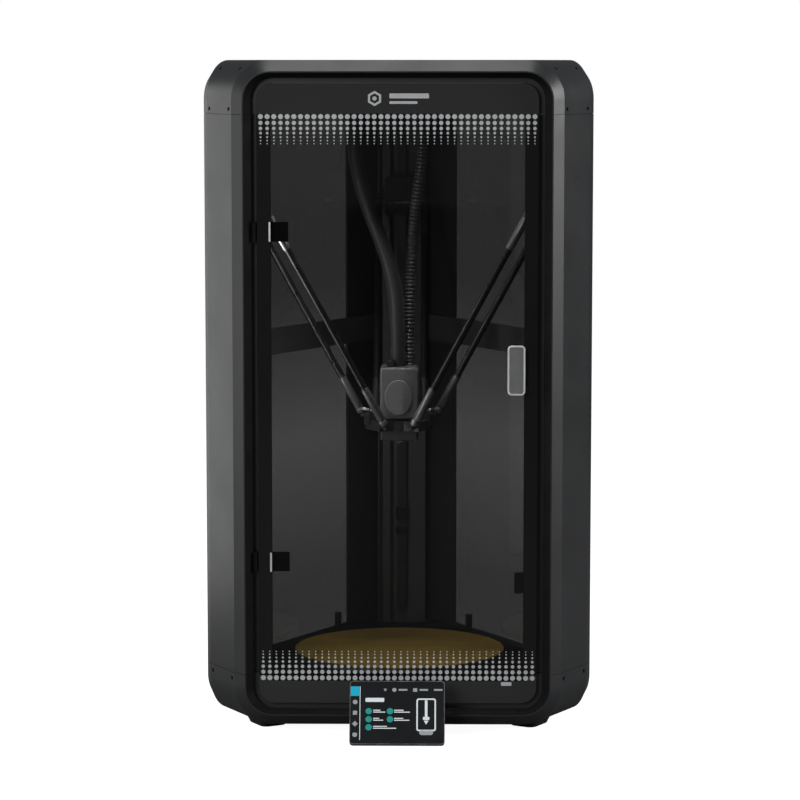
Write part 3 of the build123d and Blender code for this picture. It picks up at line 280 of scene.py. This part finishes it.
print_side = finish_material("printed_side_border", (0.010, 0.010, 0.010), (0.013, 0.013, 0.013),
                             (0.14, 0.20), grain=2400, bump=0.02, cloud=10, specular=0.35)
print_light = finish_material("printed_light_grey", (0.56, 0.57, 0.58), (0.66, 0.67, 0.68),
                              (0.30, 0.42), grain=2400, bump=0.05, cloud=60)

LEAST_SHADE_HEIGHT, SHADE_FADE_REACH = 0.34, 0.20    # of the painted shade in the side windows' tint, in metres


def tinted_glass(name, tint, hold, low, high, shade_fade=0.0):
    """Smoke-tinted glass: hold is the share of light that each of the pane's two faces takes away."""
    graph = Graph(name)
    smudge = graph.noise(9.0, 5.0)
    graph.link(graph.spread(smudge, low, high), graph.shader.inputs["Roughness"])
    drift = graph.noise(3.0, 2.0)
    graph.link(graph.blend_colours(graph.spread(drift, 0.0, 1.0), tint,
                                   tuple(c * 1.25 for c in tint)),
               graph.shader.inputs["Base Color"])
    graph.set(alpha=hold, specular_ior_level=0.6)
    if shade_fade:  # painted shade: darker towards the ends of the pane
        axes = graph.add("ShaderNodeSeparateXYZ")
        graph.link(graph.place, axes.inputs[0])
        away = graph.maths("ABSOLUTE", graph.maths("SUBTRACT", axes.outputs["Z"], LEAST_SHADE_HEIGHT))
        held = graph.spread(away, hold, hold + shade_fade, 0.0, SHADE_FADE_REACH)
        graph.link(held, graph.shader.inputs["Alpha"])
    return graph.material


door_pane = tinted_glass("smoked_door_glass", (0.004, 0.004, 0.005), 0.36, 0.01, 0.03)
# the side windows' tint carries painted shade, darker towards the pane's ends
window_pane = tinted_glass("smoked_window_glass", (0.004, 0.004, 0.005), 0.667, 0.02, 0.05,
                           shade_fade=0.111)


def gold_plate_material():
    graph = Graph("textured_gold_sheet")
    speck = graph.noise(1500.0, 2.0)
    cells = graph.add("ShaderNodeTexVoronoi")
    graph.link(graph.place, cells.inputs["Vector"])
    cells.inputs["Scale"].default_value = 900.0
    drift = graph.noise(7.0, 3.0)
    tone = graph.maths("MULTIPLY", graph.spread(drift, 0.2, 0.8), graph.spread(speck, 0.6, 1.2))
    graph.link(graph.blend_colours(tone, (0.26, 0.17, 0.028), (0.54, 0.365, 0.075)),
               graph.shader.inputs["Base Color"])
    graph.link(graph.spread(speck, 0.38, 0.62), graph.shader.inputs["Roughness"])
    graph.bump(cells.outputs["Distance"], 0.5, 0.00012)
    graph.set(metallic=0.45)
    return graph.material


def braid_material():
    """Woven sleeving: two crossed sets of fine strands."""
    graph = Graph("woven_cable_sleeve")
    waves = []
    for turn in (0.7, -0.7):
        mapping = graph.add("ShaderNodeMapping")
        graph.link(graph.place, mapping.inputs["Vector"])
        mapping.inputs["Rotation"].default_value = (0, turn, 0)
        wave = graph.add("ShaderNodeTexWave", wave_type="BANDS", bands_direction="Z")
        graph.link(mapping.outputs["Vector"], wave.inputs["Vector"])
        wave.inputs["Scale"].default_value = 150.0
        wave.inputs["Distortion"].default_value = 0.4
        waves.append(wave.outputs["Fac"])
    weave = graph.maths("MAXIMUM", *waves)
    drift = graph.noise(30.0, 3.0)
    tone = graph.maths("MULTIPLY", weave, graph.spread(drift, 0.6, 1.0))
    graph.link(graph.blend_colours(tone, (0.006, 0.006, 0.007), (0.020, 0.020, 0.021)),
               graph.shader.inputs["Base Color"])
    graph.link(graph.spread(weave, 0.60, 0.45, 0.0, 1.0), graph.shader.inputs["Roughness"])
    graph.bump(weave, 0.5, 0.0003)
    graph.set(sheen_weight=0.15)
    return graph.material


def hose_material():
    graph = Graph("ribbed_hose_polymer")
    scuff = graph.noise(160.0, 4.0)
    graph.link(graph.blend_colours(graph.spread(scuff, 0.0, 1.0), (0.045, 0.045, 0.046),
                                   (0.080, 0.080, 0.083)),
               graph.shader.inputs["Base Color"])
    graph.link(graph.spread(graph.noise(60.0, 3.0), 0.30, 0.46), graph.shader.inputs["Roughness"])
    graph.bump(scuff, 0.15, 0.0001)
    return graph.material


def glow_material(name, colour, strength):
    """A lit area of the touch screen, with faint speckle."""
    graph = Graph(name)
    speckle = graph.noise(2500.0, 1.0)
    tint = graph.blend_colours(graph.spread(speckle, 0.0, 1.0),
                               tuple(c * 0.85 for c in colour), colour)
    graph.link(tint, graph.shader.inputs["Base Color"])
    graph.link(tint, graph.shader.inputs["Emission Color"])
    graph.set(emission_strength=strength, roughness=0.3)
    return graph.material


def screen_glass_material():
    graph = Graph("lit_touch_glass")
    drift = graph.noise(25.0, 3.0)
    graph.link(graph.blend_colours(graph.spread(drift, 0.0, 1.0), (0.010, 0.011, 0.012),
                                   (0.014, 0.015, 0.017)),
               graph.shader.inputs["Base Color"])
    graph.link(graph.spread(graph.noise(40.0, 4.0), 0.10, 0.18), graph.shader.inputs["Roughness"])
    graph.set(coat_weight=0.3)
    return graph.material


gold_plate = gold_plate_material()
braid = braid_material()
ribbed = hose_material()
screen_face = screen_glass_material()
glow_white = glow_material("screen_white", (0.62, 0.66, 0.68), 0.42)
glow_cyan = glow_material("screen_cyan", (0.01, 0.36, 0.52), 0.36)
glow_teal = glow_material("screen_teal", (0.015, 0.27, 0.24), 0.34)
glow_grey = glow_material("screen_grey", (0.30, 0.32, 0.33), 0.34)

BY_SLOT = {
    "frame_paint": paint, "panel_black": panel, "door_pane": door_pane,
    "window_pane": window_pane, "rubber_black": rubber, "profile_black": profile,
    "steel": steel, "dark_steel": dark_steel, "motor_black": motor, "pulley_metal": pulley,
    "carriage_black": plastic, "arm_black": arm, "plastic_black": plastic,
    "badge_black": badge, "plate_gold": gold_plate, "bed_metal": bed_metal,
    "insulation": insulation, "supply_case": supply_case, "board_green": board,
    "screen_glass": screen_face, "bezel_bright": bezel, "grip_grey": grip,
    "hot_block": hot_block, "nozzle_brass": brass, "sleeve_fabric": braid, "hose_rubber": ribbed,
}
# the rear carriage and rear arms take the darker black as painted shade
BY_NODE = {"hotend_cover": cover, "base_deck": deck, "linear_rails": rail_steel,
           "carriage_rear": rear_black_with_shade, "arms_rear": rear_black_with_shade,
           "brace_left": brace_paint, "brace_right": brace_paint,
           "hinge_leaves": black_with_bevel_shade, "frame_fasteners": black_with_bevel_shade}
for node_name, node in NODES.items():
    for index, old in enumerate(node.data.materials):
        own = BY_NODE.get(node_name)
        node.material_slots[index].material = own or BY_SLOT[old.name.split(".")[0]]


# ---- making pieces ----------------------------------------------------------------------------
def add_piece(name, mesh, material, body, smooth=False):
    mesh.materials.clear()
    mesh.materials.append(material)
    for face in mesh.polygons:
        face.use_smooth = smooth
    piece = bpy.data.objects.new(name, mesh)
    bpy.context.scene.collection.objects.link(piece)
    if body:
        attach(piece, body)
    return piece


def mesh_of(name, maker):
    """A mesh from bmesh code, with its doubles merged and its faces turned outward."""
    bm = bmesh.new()
    maker(bm)
    bmesh.ops.remove_doubles(bm, verts=bm.verts, dist=1e-7)
    bmesh.ops.recalc_face_normals(bm, faces=bm.faces)
    mesh = bpy.data.meshes.new(name)
    bm.to_mesh(mesh)
    bm.free()
    return mesh


def rounded(width, height, radius, x=0.0, y=0.0, steps=6):
    """The outline of a rounded rectangle, in millimetres, anticlockwise."""
    outline = []
    for corner in range(4):
        cx = x + (width / 2 - radius) * (1 if corner in (0, 3) else -1)
        cy = y + (height / 2 - radius) * (1 if corner in (0, 1) else -1)
        for step in range(steps + 1):
            turn = pi / 2 * (corner + step / steps)
            outline.append((cx + radius * cos(turn), cy + radius * sin(turn)))
    return outline


def ring_shape(sides, radius, x=0.0, y=0.0, turn=0.0):
    return [(x + radius * cos(turn + 2 * pi * k / sides), y + radius * sin(turn + 2 * pi * k / sides))
            for k in range(sides)]


class Flat:
    """A flat face to lay shapes on: a corner point, its right and up directions, and its normal."""

    def __init__(self, origin, right, up):
        self.origin, self.right, self.up = Vector(origin), Vector(right), Vector(up)
        self.out = self.right.cross(self.up)

    def point(self, x, y, lift=0.0):
        return self.origin + (self.right * x + self.up * y + self.out * lift) * MM


def join_loops(bm, rows):
    """Faces between neighbouring loops of equally many points, and from the last to the first."""
    for row, here in enumerate(rows):
        there = rows[(row + 1) % len(rows)]
        for k in range(len(here)):
            n = (k + 1) % len(here)
            bm.faces.new((here[k], here[n], there[n], there[k]))


def lay_shapes(bm, flat, outlines, back, front):
    """Raise each outline into a thin solid between two distances from the flat."""
    for outline in outlines:
        low = [bm.verts.new(flat.point(x, y, back)) for x, y in outline]
        high = [bm.verts.new(flat.point(x, y, front)) for x, y in outline]
        bm.faces.new(list(reversed(low)))
        bm.faces.new(high)
        for k in range(len(outline)):
            n = (k + 1) % len(outline)
            bm.faces.new((low[k], low[n], high[n], high[k]))


def lay_ring(bm, flat, outer, inner, back, front):
    """The same between an outer and an inner outline with equally many points."""
    rows = [[bm.verts.new(flat.point(x, y, lift)) for x, y in loop]
            for loop, lift in ((outer, back), (outer, front), (inner, front), (inner, back))]
    join_loops(bm, rows)


def shapes_piece(name, flat, outlines, back, front, material, body):
    mesh = mesh_of(name, lambda bm: lay_shapes(bm, flat, outlines, back, front))
    return add_piece(name, mesh, material, body)


def ring_piece(name, flat, outer, inner, back, front, material, body):
    mesh = mesh_of(name, lambda bm: lay_ring(bm, flat, outer, inner, back, front))
    return add_piece(name, mesh, material, body)


def sweep(bm, line, radii, sides=16):
    """A closed tube along a line of points, with a radius for each point."""
    normal = None
    rows = []
    for k, spot in enumerate(line):
        along = (line[min(k + 1, len(line) - 1)] - line[max(k - 1, 0)]).normalized()
        if normal is None:
            normal = along.orthogonal().normalized()
        normal = (normal - along * normal.dot(along)).normalized()
        side = along.cross(normal)
        rows.append([bm.verts.new(spot + (normal * cos(2 * pi * s / sides)
                                          + side * sin(2 * pi * s / sides)) * radii[k])
                     for s in range(sides)])
    for here, there in zip(rows, rows[1:]):
        for s in range(sides):
            n = (s + 1) % sides
            bm.faces.new((here[s], here[n], there[n], there[s]))
    bm.faces.new(list(reversed(rows[0])))
    bm.faces.new(rows[-1])


# ---- the door: printed border, dot rows, mark and hinge clamps -----------------------------------
glass_low, glass_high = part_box("door_glass")
GLASS_FRONT = glass_low.y
door_face = Flat((0, GLASS_FRONT, 0), (1, 0, 0), (0, 0, 1))
pane_width = (glass_high.x - glass_low.x) / MM
BAND_TOP, BAND_BOTTOM = 767.0, 68.0     # heights where the printed bands end
BAND_SIDE = 155.0                       # half the clear width between the side borders
INK = 0.12                              # thickness of one layer of print


def arc(x, y, radius, start, steps=10):
    """A quarter circle's points, anticlockwise from a start angle in degrees."""
    return [(x + radius * cos(radians(start + 90 * k / steps)),
             y + radius * sin(radians(start + 90 * k / steps))) for k in range(steps + 1)]


EDGE = 0.6                  # the print stops short of the glass's edges
GAP_EDGE = 0.2              # and this far short of the gap between door and strip
HALF = pane_width / 2 - EDGE
CORNER = 19.4
GLINT_LOW, GLINT_HIGH = 0.05, 0.55      # the painted highlight line on the glass's top edge, above the band's top
pane_top = glass_high.z / MM - EDGE
pane_foot = glass_low.z / MM + GAP_EDGE
top_band = [(HALF, BAND_TOP), *arc(HALF - CORNER, pane_top - CORNER, CORNER, 0),
            *arc(-HALF + CORNER, pane_top - CORNER, CORNER, 90), (-HALF, BAND_TOP)]
shapes_piece("door_print", door_face, [top_band], 0.0, INK, print_black, "door")
side_bands = [[(side * HALF, pane_foot), (side * HALF, BAND_TOP), (side * BAND_SIDE, BAND_TOP),
               (side * BAND_SIDE, pane_foot)] for side in (-1, 1)]
shapes_piece("door_print_sides", door_face, side_bands, 0.0, INK, print_side, "door")
# painted highlight: a thin lighter strip along the glass's top edge
glint_outline = [(-HALF + CORNER, pane_top + GLINT_LOW), (HALF - CORNER, pane_top + GLINT_LOW),
             (HALF - CORNER, pane_top + GLINT_HIGH), (-HALF + CORNER, pane_top + GLINT_HIGH)]
shapes_piece("door_edge_line", door_face, [glint_outline], 0.0, INK, glint_paint, "door")

strip_low, strip_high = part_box("lower_fascia")
strip_top = strip_high.z / MM - GAP_EDGE
strip_foot = strip_low.z / MM + EDGE
strip_border = [*arc(-HALF + CORNER, strip_foot + CORNER, CORNER, 180),
                *arc(HALF - CORNER, strip_foot + CORNER, CORNER, 270),
                (HALF, strip_top), (BAND_SIDE, strip_top), (BAND_SIDE, BAND_BOTTOM),
                (-BAND_SIDE, BAND_BOTTOM), (-BAND_SIDE, strip_top), (-HALF, strip_top)]
shapes_piece("lower_fascia_print", door_face, [strip_border], 0.0, INK, print_black, "frame")

DOT_COLUMNS = 42
DOT_PITCH = 8.12
DOT_SIZES = (6.2, 5.2, 4.4, 3.3, 2.4, 1.8, 1.5)
DOT_ROWS = {
    "upper": ("door", (763.6, 756.0, 749.3, 743.7, 738.8, 734.6, 730.9), DOT_SIZES),
    "lower": ("door", (79.1, 86.0, 92.0, 97.0, 101.2, 104.7), DOT_SIZES[1:]),
    "strip": ("frame", (71.6,), DOT_SIZES[:1]),
}
for end, (body, heights, sizes) in DOT_ROWS.items():
    dots = [ring_shape(14, size / 2, (column - (DOT_COLUMNS - 1) / 2) * DOT_PITCH, height)
            for height, size in zip(heights, sizes) for column in range(DOT_COLUMNS)]
    shapes_piece(f"door_dots_{end}", door_face, dots, INK, 2 * INK, print_light, body)

# a plain mark: two bars beside a hexagon ring with a dot in it
MARK_X, MARK_HEIGHT = -28, 785.5
mark = [rounded(48, 6.0, 1.2, 14, 788.6), rounded(34, 3.2, 1.0, 7, 780.6)]
shapes_piece("door_mark_bars", door_face, mark, INK, 2 * INK, print_light, "door")
ring_piece("door_mark_ring", door_face, ring_shape(6, 9.2, MARK_X, MARK_HEIGHT, pi / 6),
           ring_shape(6, 6.2, MARK_X, MARK_HEIGHT, pi / 6), INK, 2 * INK, print_light, "door")
shapes_piece("door_mark_dot", door_face, [ring_shape(20, 2.6, MARK_X, MARK_HEIGHT)], INK, 2 * INK,
             print_light, "door")
shapes_piece("fascia_light_bar", door_face, [rounded(13, 4.6, 1.0, 134.3, 64.4)], INK, 2 * INK,
             print_light, "frame")


def block(name, low, high, bevel, material, body):
    """A box between two corners in millimetres, with rounded edges."""
    def make(bm):
        bmesh.ops.create_cube(bm, size=1.0)
        for vert in bm.verts:
            vert.co = mm(*((l + h) / 2 + c * (h - l) for l, h, c in zip(low, high, vert.co)))
        bmesh.ops.bevel(bm, geom=bm.edges[:], offset=bevel * MM, segments=3, affect="EDGES")
    return add_piece(name, mesh_of(name, make), material, body)


CLAMP_SIDES = (-157.3, -155.1)
CLAMP_REACH = 12.0          # above and below the hinge's height
CLAMP_DEPTH = 0.9
front = GLASS_FRONT / MM
for level, height in (("lower", 216.5), ("upper", 623.7)):
    block(f"hinge_clamp_{level}", (CLAMP_SIDES[0], front - CLAMP_DEPTH, height - CLAMP_REACH),
          (CLAMP_SIDES[1], front, height + CLAMP_REACH), 0.4, bezel, "door")

# ---- painted shade: dark bands on the inner bevels of the three wide faces ------------------------
LONG_REACH = 156.4634       # from the cabinet's axis to a wide face
BODY_MIDDLE = 422.0         # the wide faces' middle height
FACE_WIDTH, FACE_HEIGHT = 405.0, 820.0
# side inset, end inset, corner radius and lift of the shade band's four loops
BEVEL_SHADE_LOOPS = ((15.2, 15.2, 32.8, 13.33), (23.9, 20.9, 26.1, 6.08),
               (24.2, 21.2, 25.8, 6.35), (15.5, 15.5, 32.5, 13.62))


def bevel_shade_band(bm, flat):
    """A thin closed band of painted shade on a face's inner bevel."""
    rows = []
    for side, end, radius, lift in BEVEL_SHADE_LOOPS:
        loop = rounded(FACE_WIDTH - 2 * side, FACE_HEIGHT - 2 * end, radius, steps=10)
        rows.append([bm.verts.new(flat.point(x, y, lift)) for x, y in loop])
    join_loops(bm, rows)


for face_name, degrees in (("front", -90), ("left", 150), ("right", 30)):
    outward = Vector((cos(radians(degrees)), sin(radians(degrees)), 0))
    wide_face = Flat(AXIS + outward * LONG_REACH * MM + mm(0, 0, BODY_MIDDLE),
                     (-outward.y, outward.x, 0), (0, 0, 1))
    add_piece(f"ring_bevel_shade_{face_name}",
              mesh_of(f"ring_bevel_shade_{face_name}", lambda bm: bevel_shade_band(bm, wide_face)),
              black_with_bevel_shade, "frame")

# ---- details of the rear tower --------------------------------------------------------------------
WALL = 3.0                  # thickness of the shell that these pieces lie against
SLANT_X, SLANT_Y = cos(radians(30)), sin(radians(30))
PROFILE_FOOT, PROFILE_TOP = 92.0, 755.0


def upright_strip(left, right):
    return [(left, PROFILE_FOOT), (right, PROFILE_FOOT), (right, PROFILE_TOP), (left, PROFILE_TOP)]


duct_face = Flat(AXIS + Vector((SLANT_X, SLANT_Y, 0)) * (LONG_REACH - WALL) * MM,
                 (0.5, -SLANT_X, 0), (0, 0, 1))
shapes_piece("rear_cable_duct", duct_face, [upright_strip(-184.0, -158.4)], -3.0, 0.0, profile,
             "frame")
shapes_piece("rear_trim_line", duct_face, [upright_strip(-153.2, -151.2)], -1.2, 0.0, pulley,
             "frame")
rail_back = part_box("linear_rails")[1].y / MM
for level, low, high in (("upper", 212, 229), ("lower", 192, 201)):
    block(f"rear_stop_{level}", (-8.0, rail_back - 11.5, low), (7.5, rail_back - 7.9, high), 0.8,
          rear_black_with_shade, "frame")
flange = Flat(AXIS + Vector((-SLANT_X, SLANT_Y, 0)) * (LONG_REACH - WALL) * MM,
              (0.5, SLANT_X, 0), (0, 0, 1))
flange_screws = [ring_shape(18, 2.2, 137.0, height) for height in (207.0, 220.0)]
shapes_piece("rear_flange_screws", flange, flange_screws, -1.2, 0.0, steel, "frame")

# ---- the touch screen's picture -------------------------------------------------------------------
SCREEN_TILT = radians(31.0)
LIT = 0.08                  # thickness of the lit shapes on the glass
screen_up = Vector((0, sin(SCREEN_TILT), cos(SCREEN_TILT)))
screen_foot = AXIS + mm(0, -230.0, 3.6)
SCREEN_HALF = 40.5          # half the glass's height
screen_flat = Flat(screen_foot + screen_up * SCREEN_HALF * MM, (1, 0, 0), screen_up)


def bar(x0, x1, y0, y1, radius=0.5):
    return rounded(x1 - x0, y1 - y0, radius, (x0 + x1) / 2, (y0 + y1) / 2, steps=3)


def lit_piece(name, outlines, material):
    return shapes_piece(name, screen_flat, outlines, 0, LIT, material, "frame")


lit_piece("screen_tab", [bar(-57.2, -46.6, 21.2, 33.6)], glow_cyan)
icons = [ring_shape(18, 2.9, -51.6, 13.4), bar(-54.2, -49.0, -3.0, 2.2, 0.8),
         ring_shape(4, 3.6, -51.6, -14.5), bar(-54.4, -48.8, -31.2, -25.8, 1.8)]
lit_piece("screen_icons", icons, glow_grey)
lit_piece("screen_divider", [bar(-46.0, -45.2, -35.3, 33.5, 0.2)], glow_white)
status = [ring_shape(3, 2.4, -14.8, 29.4, -pi / 2), ring_shape(16, 2.6, -3.6, 29.2),
          bar(1.8, 12.4, 28.1, 30.4), bar(19.4, 24.4, 26.8, 31.4), bar(27.4, 37.8, 28.1, 30.4),
          bar(45.0, 55.4, 28.1, 30.4)]
lit_piece("screen_status", status, glow_grey)
lit_piece("screen_heading", [bar(-39.0, -16.0, 13.6, 18.8, 1.2)], glow_white)
buttons = [ring_shape(20, 4.0, x, y) for x, y in ((-34.8, 1.7), (-34.8, -8.7), (-34.8, -19.0),
                                                   (-8.8, 1.7), (-8.8, -8.7))]
lit_piece("screen_buttons", buttons, glow_teal)
lines = []
for x0, x1, y in ((-29.3, -14.6, 1.7), (-29.3, -17.0, -8.7), (-29.3, -1.0, -19.0),
                  (-3.8, 15.6, 1.7), (-3.8, 15.0, -8.7)):
    lines.append(bar(x0, x0 + (x1 - x0) * 0.6, y + 0.6, y + 1.8, 0.3))
    lines.append(bar(x0, x1, y - 1.8, y - 0.6, 0.3))
lit_piece("screen_captions", lines, glow_white)
PICTURE_X = 35.5
ring_piece("screen_picture_frame", screen_flat, rounded(24, 42, 3, PICTURE_X, -2.8),
           rounded(20.4, 38.4, 1.6, PICTURE_X, -2.8), 0, LIT, glow_white, "frame")
lit_piece("screen_picture_column",
          [bar(33.9, 37.1, -6.0, 15.8), bar(31.5, 39.5, -9.5, -5.5, 1.0),
           ring_shape(3, 3.4, PICTURE_X, -12.0, -pi / 2)], glow_white)
lit_piece("screen_picture_bed", [rounded(17, 6.4, 3.1, PICTURE_X, -25.6)], glow_grey)
ring_piece("screen_rim", screen_flat, rounded(116.4, 81.4, 4.2), rounded(114.6, 79.6, 3.3),
           -0.9, 0.12, steel, "frame")

# ---- sleeves and springs at the arms' ends ---------------------------------------------------------
BALL_HEIGHT = 0.369
HEAD_BALL_RADIUS = 0.0365       # from the cabinet's axis to the head's balls
CARRIAGE_BALL_RADIUS = 0.207
ARM_SPREAD = 0.0305             # from the middle of a pair to each ball
SPRING_INSET = 0.0052           # from a ball's middle to the spring's hook
OUTER_SIDE = {"front_left": -1, "front_right": 1}
OUTER_RAISE = 0.011             # the outer ball of a front pair sits this much higher
ARM_LENGTH = 0.330
COLUMNS = {"front_left": 210, "front_right": 330, "rear": 90}


def spring(bm, start, end, radius, wire, turns):
    """A coil spring between two points, with straight hooks at its ends."""
    along = end - start
    length = along.length
    along.normalize()
    side = along.orthogonal().normalized()
    other = along.cross(side)
    steps = turns * 10
    line = [start + along * length * (0.12 + 0.76 * k / steps)
            + (side * cos(2 * pi * k / 10) + other * sin(2 * pi * k / 10)) * radius
            for k in range(steps + 1)]
    line = [start] + line + [end]
    sweep(bm, line, [wire] * len(line), 5)


# distance from the ball and radius, along the metal sleeve at each end of an arm
SLEEVE_PROFILE = ((4.4, 3.6), (4.5, 4.6), (5.2, 5.1), (12.0, 5.15), (12.3, 4.9), (13.1, 4.9),
                  (13.4, 5.15), (57.6, 5.15), (59.3, 5.1), (60.2, 4.7), (60.5, 4.3))
rise = sqrt(ARM_LENGTH**2 - (CARRIAGE_BALL_RADIUS - HEAD_BALL_RADIUS) ** 2)
HOOK_REACH, LONG_HOOK_REACH = 0.010, 0.026  # how far along an arm its spring hooks on
for column, degrees in COLUMNS.items():
    out = Vector((cos(radians(degrees)), sin(radians(degrees)), 0))
    across = Vector((-out.y, out.x, 0))
    lower = AXIS + out * HEAD_BALL_RADIUS + Vector((0, 0, BALL_HEIGHT))
    upper = AXIS + out * CARRIAGE_BALL_RADIUS + Vector((0, 0, BALL_HEIGHT + rise))
    along = (upper - lower).normalized()

    ends = []
    for side in (-1, 1):
        raised = Vector((0, 0, OUTER_RAISE if OUTER_SIDE.get(column) == side else 0.0))
        hook = LONG_HOOK_REACH if OUTER_SIDE.get(column) == -side else HOOK_REACH
        ends.append((across * side, raised, hook))

    def springs(bm):
        gap = ARM_SPREAD - SPRING_INSET
        for middle, direction in ((lower, along), (upper, -along)):
            hooks = [middle + side * gap + raised + direction * reach
                     for side, raised, reach in ends]
            spring(bm, *hooks, 0.0017, 0.0004, 24)

    def sleeves(bm):
        for side, raised, _ in ends:
            for middle, direction in ((lower, along), (upper, -along)):
                ball = middle + side * ARM_SPREAD + raised
                line = [ball + direction * MM * at for at, _ in SLEEVE_PROFILE]
                sweep(bm, line, [radius * MM for _, radius in SLEEVE_PROFILE], 24)

    add_piece(f"arm_springs_{column}", mesh_of(f"arm_springs_{column}", springs), steel,
              f"tower_carriage_{column}", smooth=True)
    # the rear arm ends take the black plastic instead of the front ends' grey: painted shade
    add_piece(f"arm_ends_{column}", mesh_of(f"arm_ends_{column}", sleeves),
              plastic if column == "rear" else arm_end,
              f"tower_carriage_{column}", smooth=True)

# ---- print head details ----------------------------------------------------------------------------
cover_low, cover_high = (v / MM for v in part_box("hotend_cover"))
block("cover_connector", (-16.5, cover_low.y + 9, cover_high.z - 1), (-6.5, cover_low.y + 17,
      cover_high.z + 9), 1.0, plastic, "print_head")
for name, x, right in (("left", cover_low.x, -1), ("right", cover_high.x, 1)):
    side = Flat(mm(x, (cover_low.y + cover_high.y) / 2, 410), (0, right, 0), (0, 0, 1))
    slats = [rounded(30, 2.0, 0.9, 0, 4.6 * k) for k in range(-4, 5)]
    shapes_piece(f"cover_louvres_{name}", side, slats, 0.0, 0.8, plastic, "print_head")

# ---- cable sleeve and air hose ---------------------------------------------------------------------
SLEEVE_ROUTE = [(-58, 12, 762), (-58, 12, 722), (-52, 11, 686), (-41, 9, 648), (-27, 6, 613),
                (-14, 3, 578), (-5, 0, 540), (-2, -1, 500), (-2, -1, 443.5)]
HOSE_ROUTE = [(30, 30, 762), (30, 30, 726), (27, 29, 690), (21.5, 27, 655), (17, 23.5, 610),
              (14, 19.5, 565), (12.2, 16, 520), (12, 15, 480), (12, 15, 443.5)]


def smooth_line(name, route, spacing):
    """Evenly spaced points on the NURBS line that a route's points control."""
    data = bpy.data.curves.new(name, "CURVE")
    data.dimensions = "3D"
    spline = data.splines.new("NURBS")
    spline.points.add(len(route) - 1)
    for point, spot in zip(spline.points, route):
        point.co = (*(mm(*spot) + AXIS), 1)
    spline.order_u = 3
    spline.use_endpoint_u = True
    spline.resolution_u = 40
    holder = bpy.data.objects.new(name, data)
    mesh = bpy.data.meshes.new_from_object(holder)
    raw = [v.co.copy() for v in mesh.vertices]
    bpy.data.objects.remove(holder)
    bpy.data.meshes.remove(mesh)
    reach = [0.0]
    for a, b in zip(raw, raw[1:]):
        reach.append(reach[-1] + (b - a).length)
    count = round(reach[-1] / spacing)
    line, k = [], 0
    for step in range(count + 1):
        want = reach[-1] * step / count
        while k < len(raw) - 2 and reach[k + 1] < want:
            k += 1
        share = (want - reach[k]) / (reach[k + 1] - reach[k])
        line.append(raw[k].lerp(raw[k + 1], share))
    return line, reach[-1]


def flexible_tube(name, node, route, radius_at, spacing, material):
    line, length = smooth_line(name + "_line", route, spacing)
    radii = [radius_at(k * spacing) for k in range(len(line))]
    mesh = mesh_of(name, lambda bm: sweep(bm, line, radii, 28))
    piece = add_piece(name, mesh, material, None, smooth=True)
    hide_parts(node)
    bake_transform(piece)
    return piece


SLEEVE_WIDTH, HOSE_WIDTH = 0.019, 0.015
RIB_PITCH, RIB_DEPTH = 0.0048, 0.0013


def rib_radius(along):
    """The corrugated hose's radius: round-topped ribs with narrow grooves."""
    phase = (along / RIB_PITCH) % 1.0
    return HOSE_WIDTH / 2 - RIB_DEPTH * (0.5 + 0.5 * cos(2 * pi * phase)) ** 2


flexible_tube("cable_sleeve_braided", "cable_sleeve", SLEEVE_ROUTE,
              lambda along: SLEEVE_WIDTH / 2, 0.004, braid)
flexible_tube("air_hose_ribbed", "air_hose", HOSE_ROUTE, rib_radius, RIB_PITCH / 8,
              ribbed)


# ---- floor -----------------------------------------------------------------------------------------
def floor_material():
    """A pale studio floor, lit from below as a light table is, which casts little light back."""
    graph = Graph("pale_floor")
    graph.set(base_color=(0.45, 0.45, 0.45), roughness=0.9, specular_ior_level=0.1,
              emission_color=(1.0, 1.0, 1.0), emission_strength=0.95)
    dim = graph.add("ShaderNodeBsdfDiffuse")
    dim.inputs["Color"].default_value = (0.16, 0.16, 0.16, 1)
    ray = graph.add("ShaderNodeLightPath")
    pick = graph.add("ShaderNodeMixShader")
    graph.link(ray.outputs["Is Camera Ray"], pick.inputs[0])
    graph.link(dim.outputs[0], pick.inputs[1])
    graph.link(graph.shader.outputs[0], pick.inputs[2])
    graph.link(pick.outputs[0], graph.tree.nodes["Material Output"].inputs["Surface"])
    return graph.material


FLOOR_REACH = 14.0
floor_mesh = bpy.data.meshes.new("floor")
floor_mesh.from_pydata([(x * FLOOR_REACH, y * FLOOR_REACH, 0)
                        for x, y in ((-1, -1), (1, -1), (1, 1), (-1, 1))], [], [(0, 1, 2, 3)])
floor = bpy.data.objects.new("floor", floor_mesh)
bpy.context.scene.collection.objects.link(floor)
floor_mesh.materials.append(floor_material())
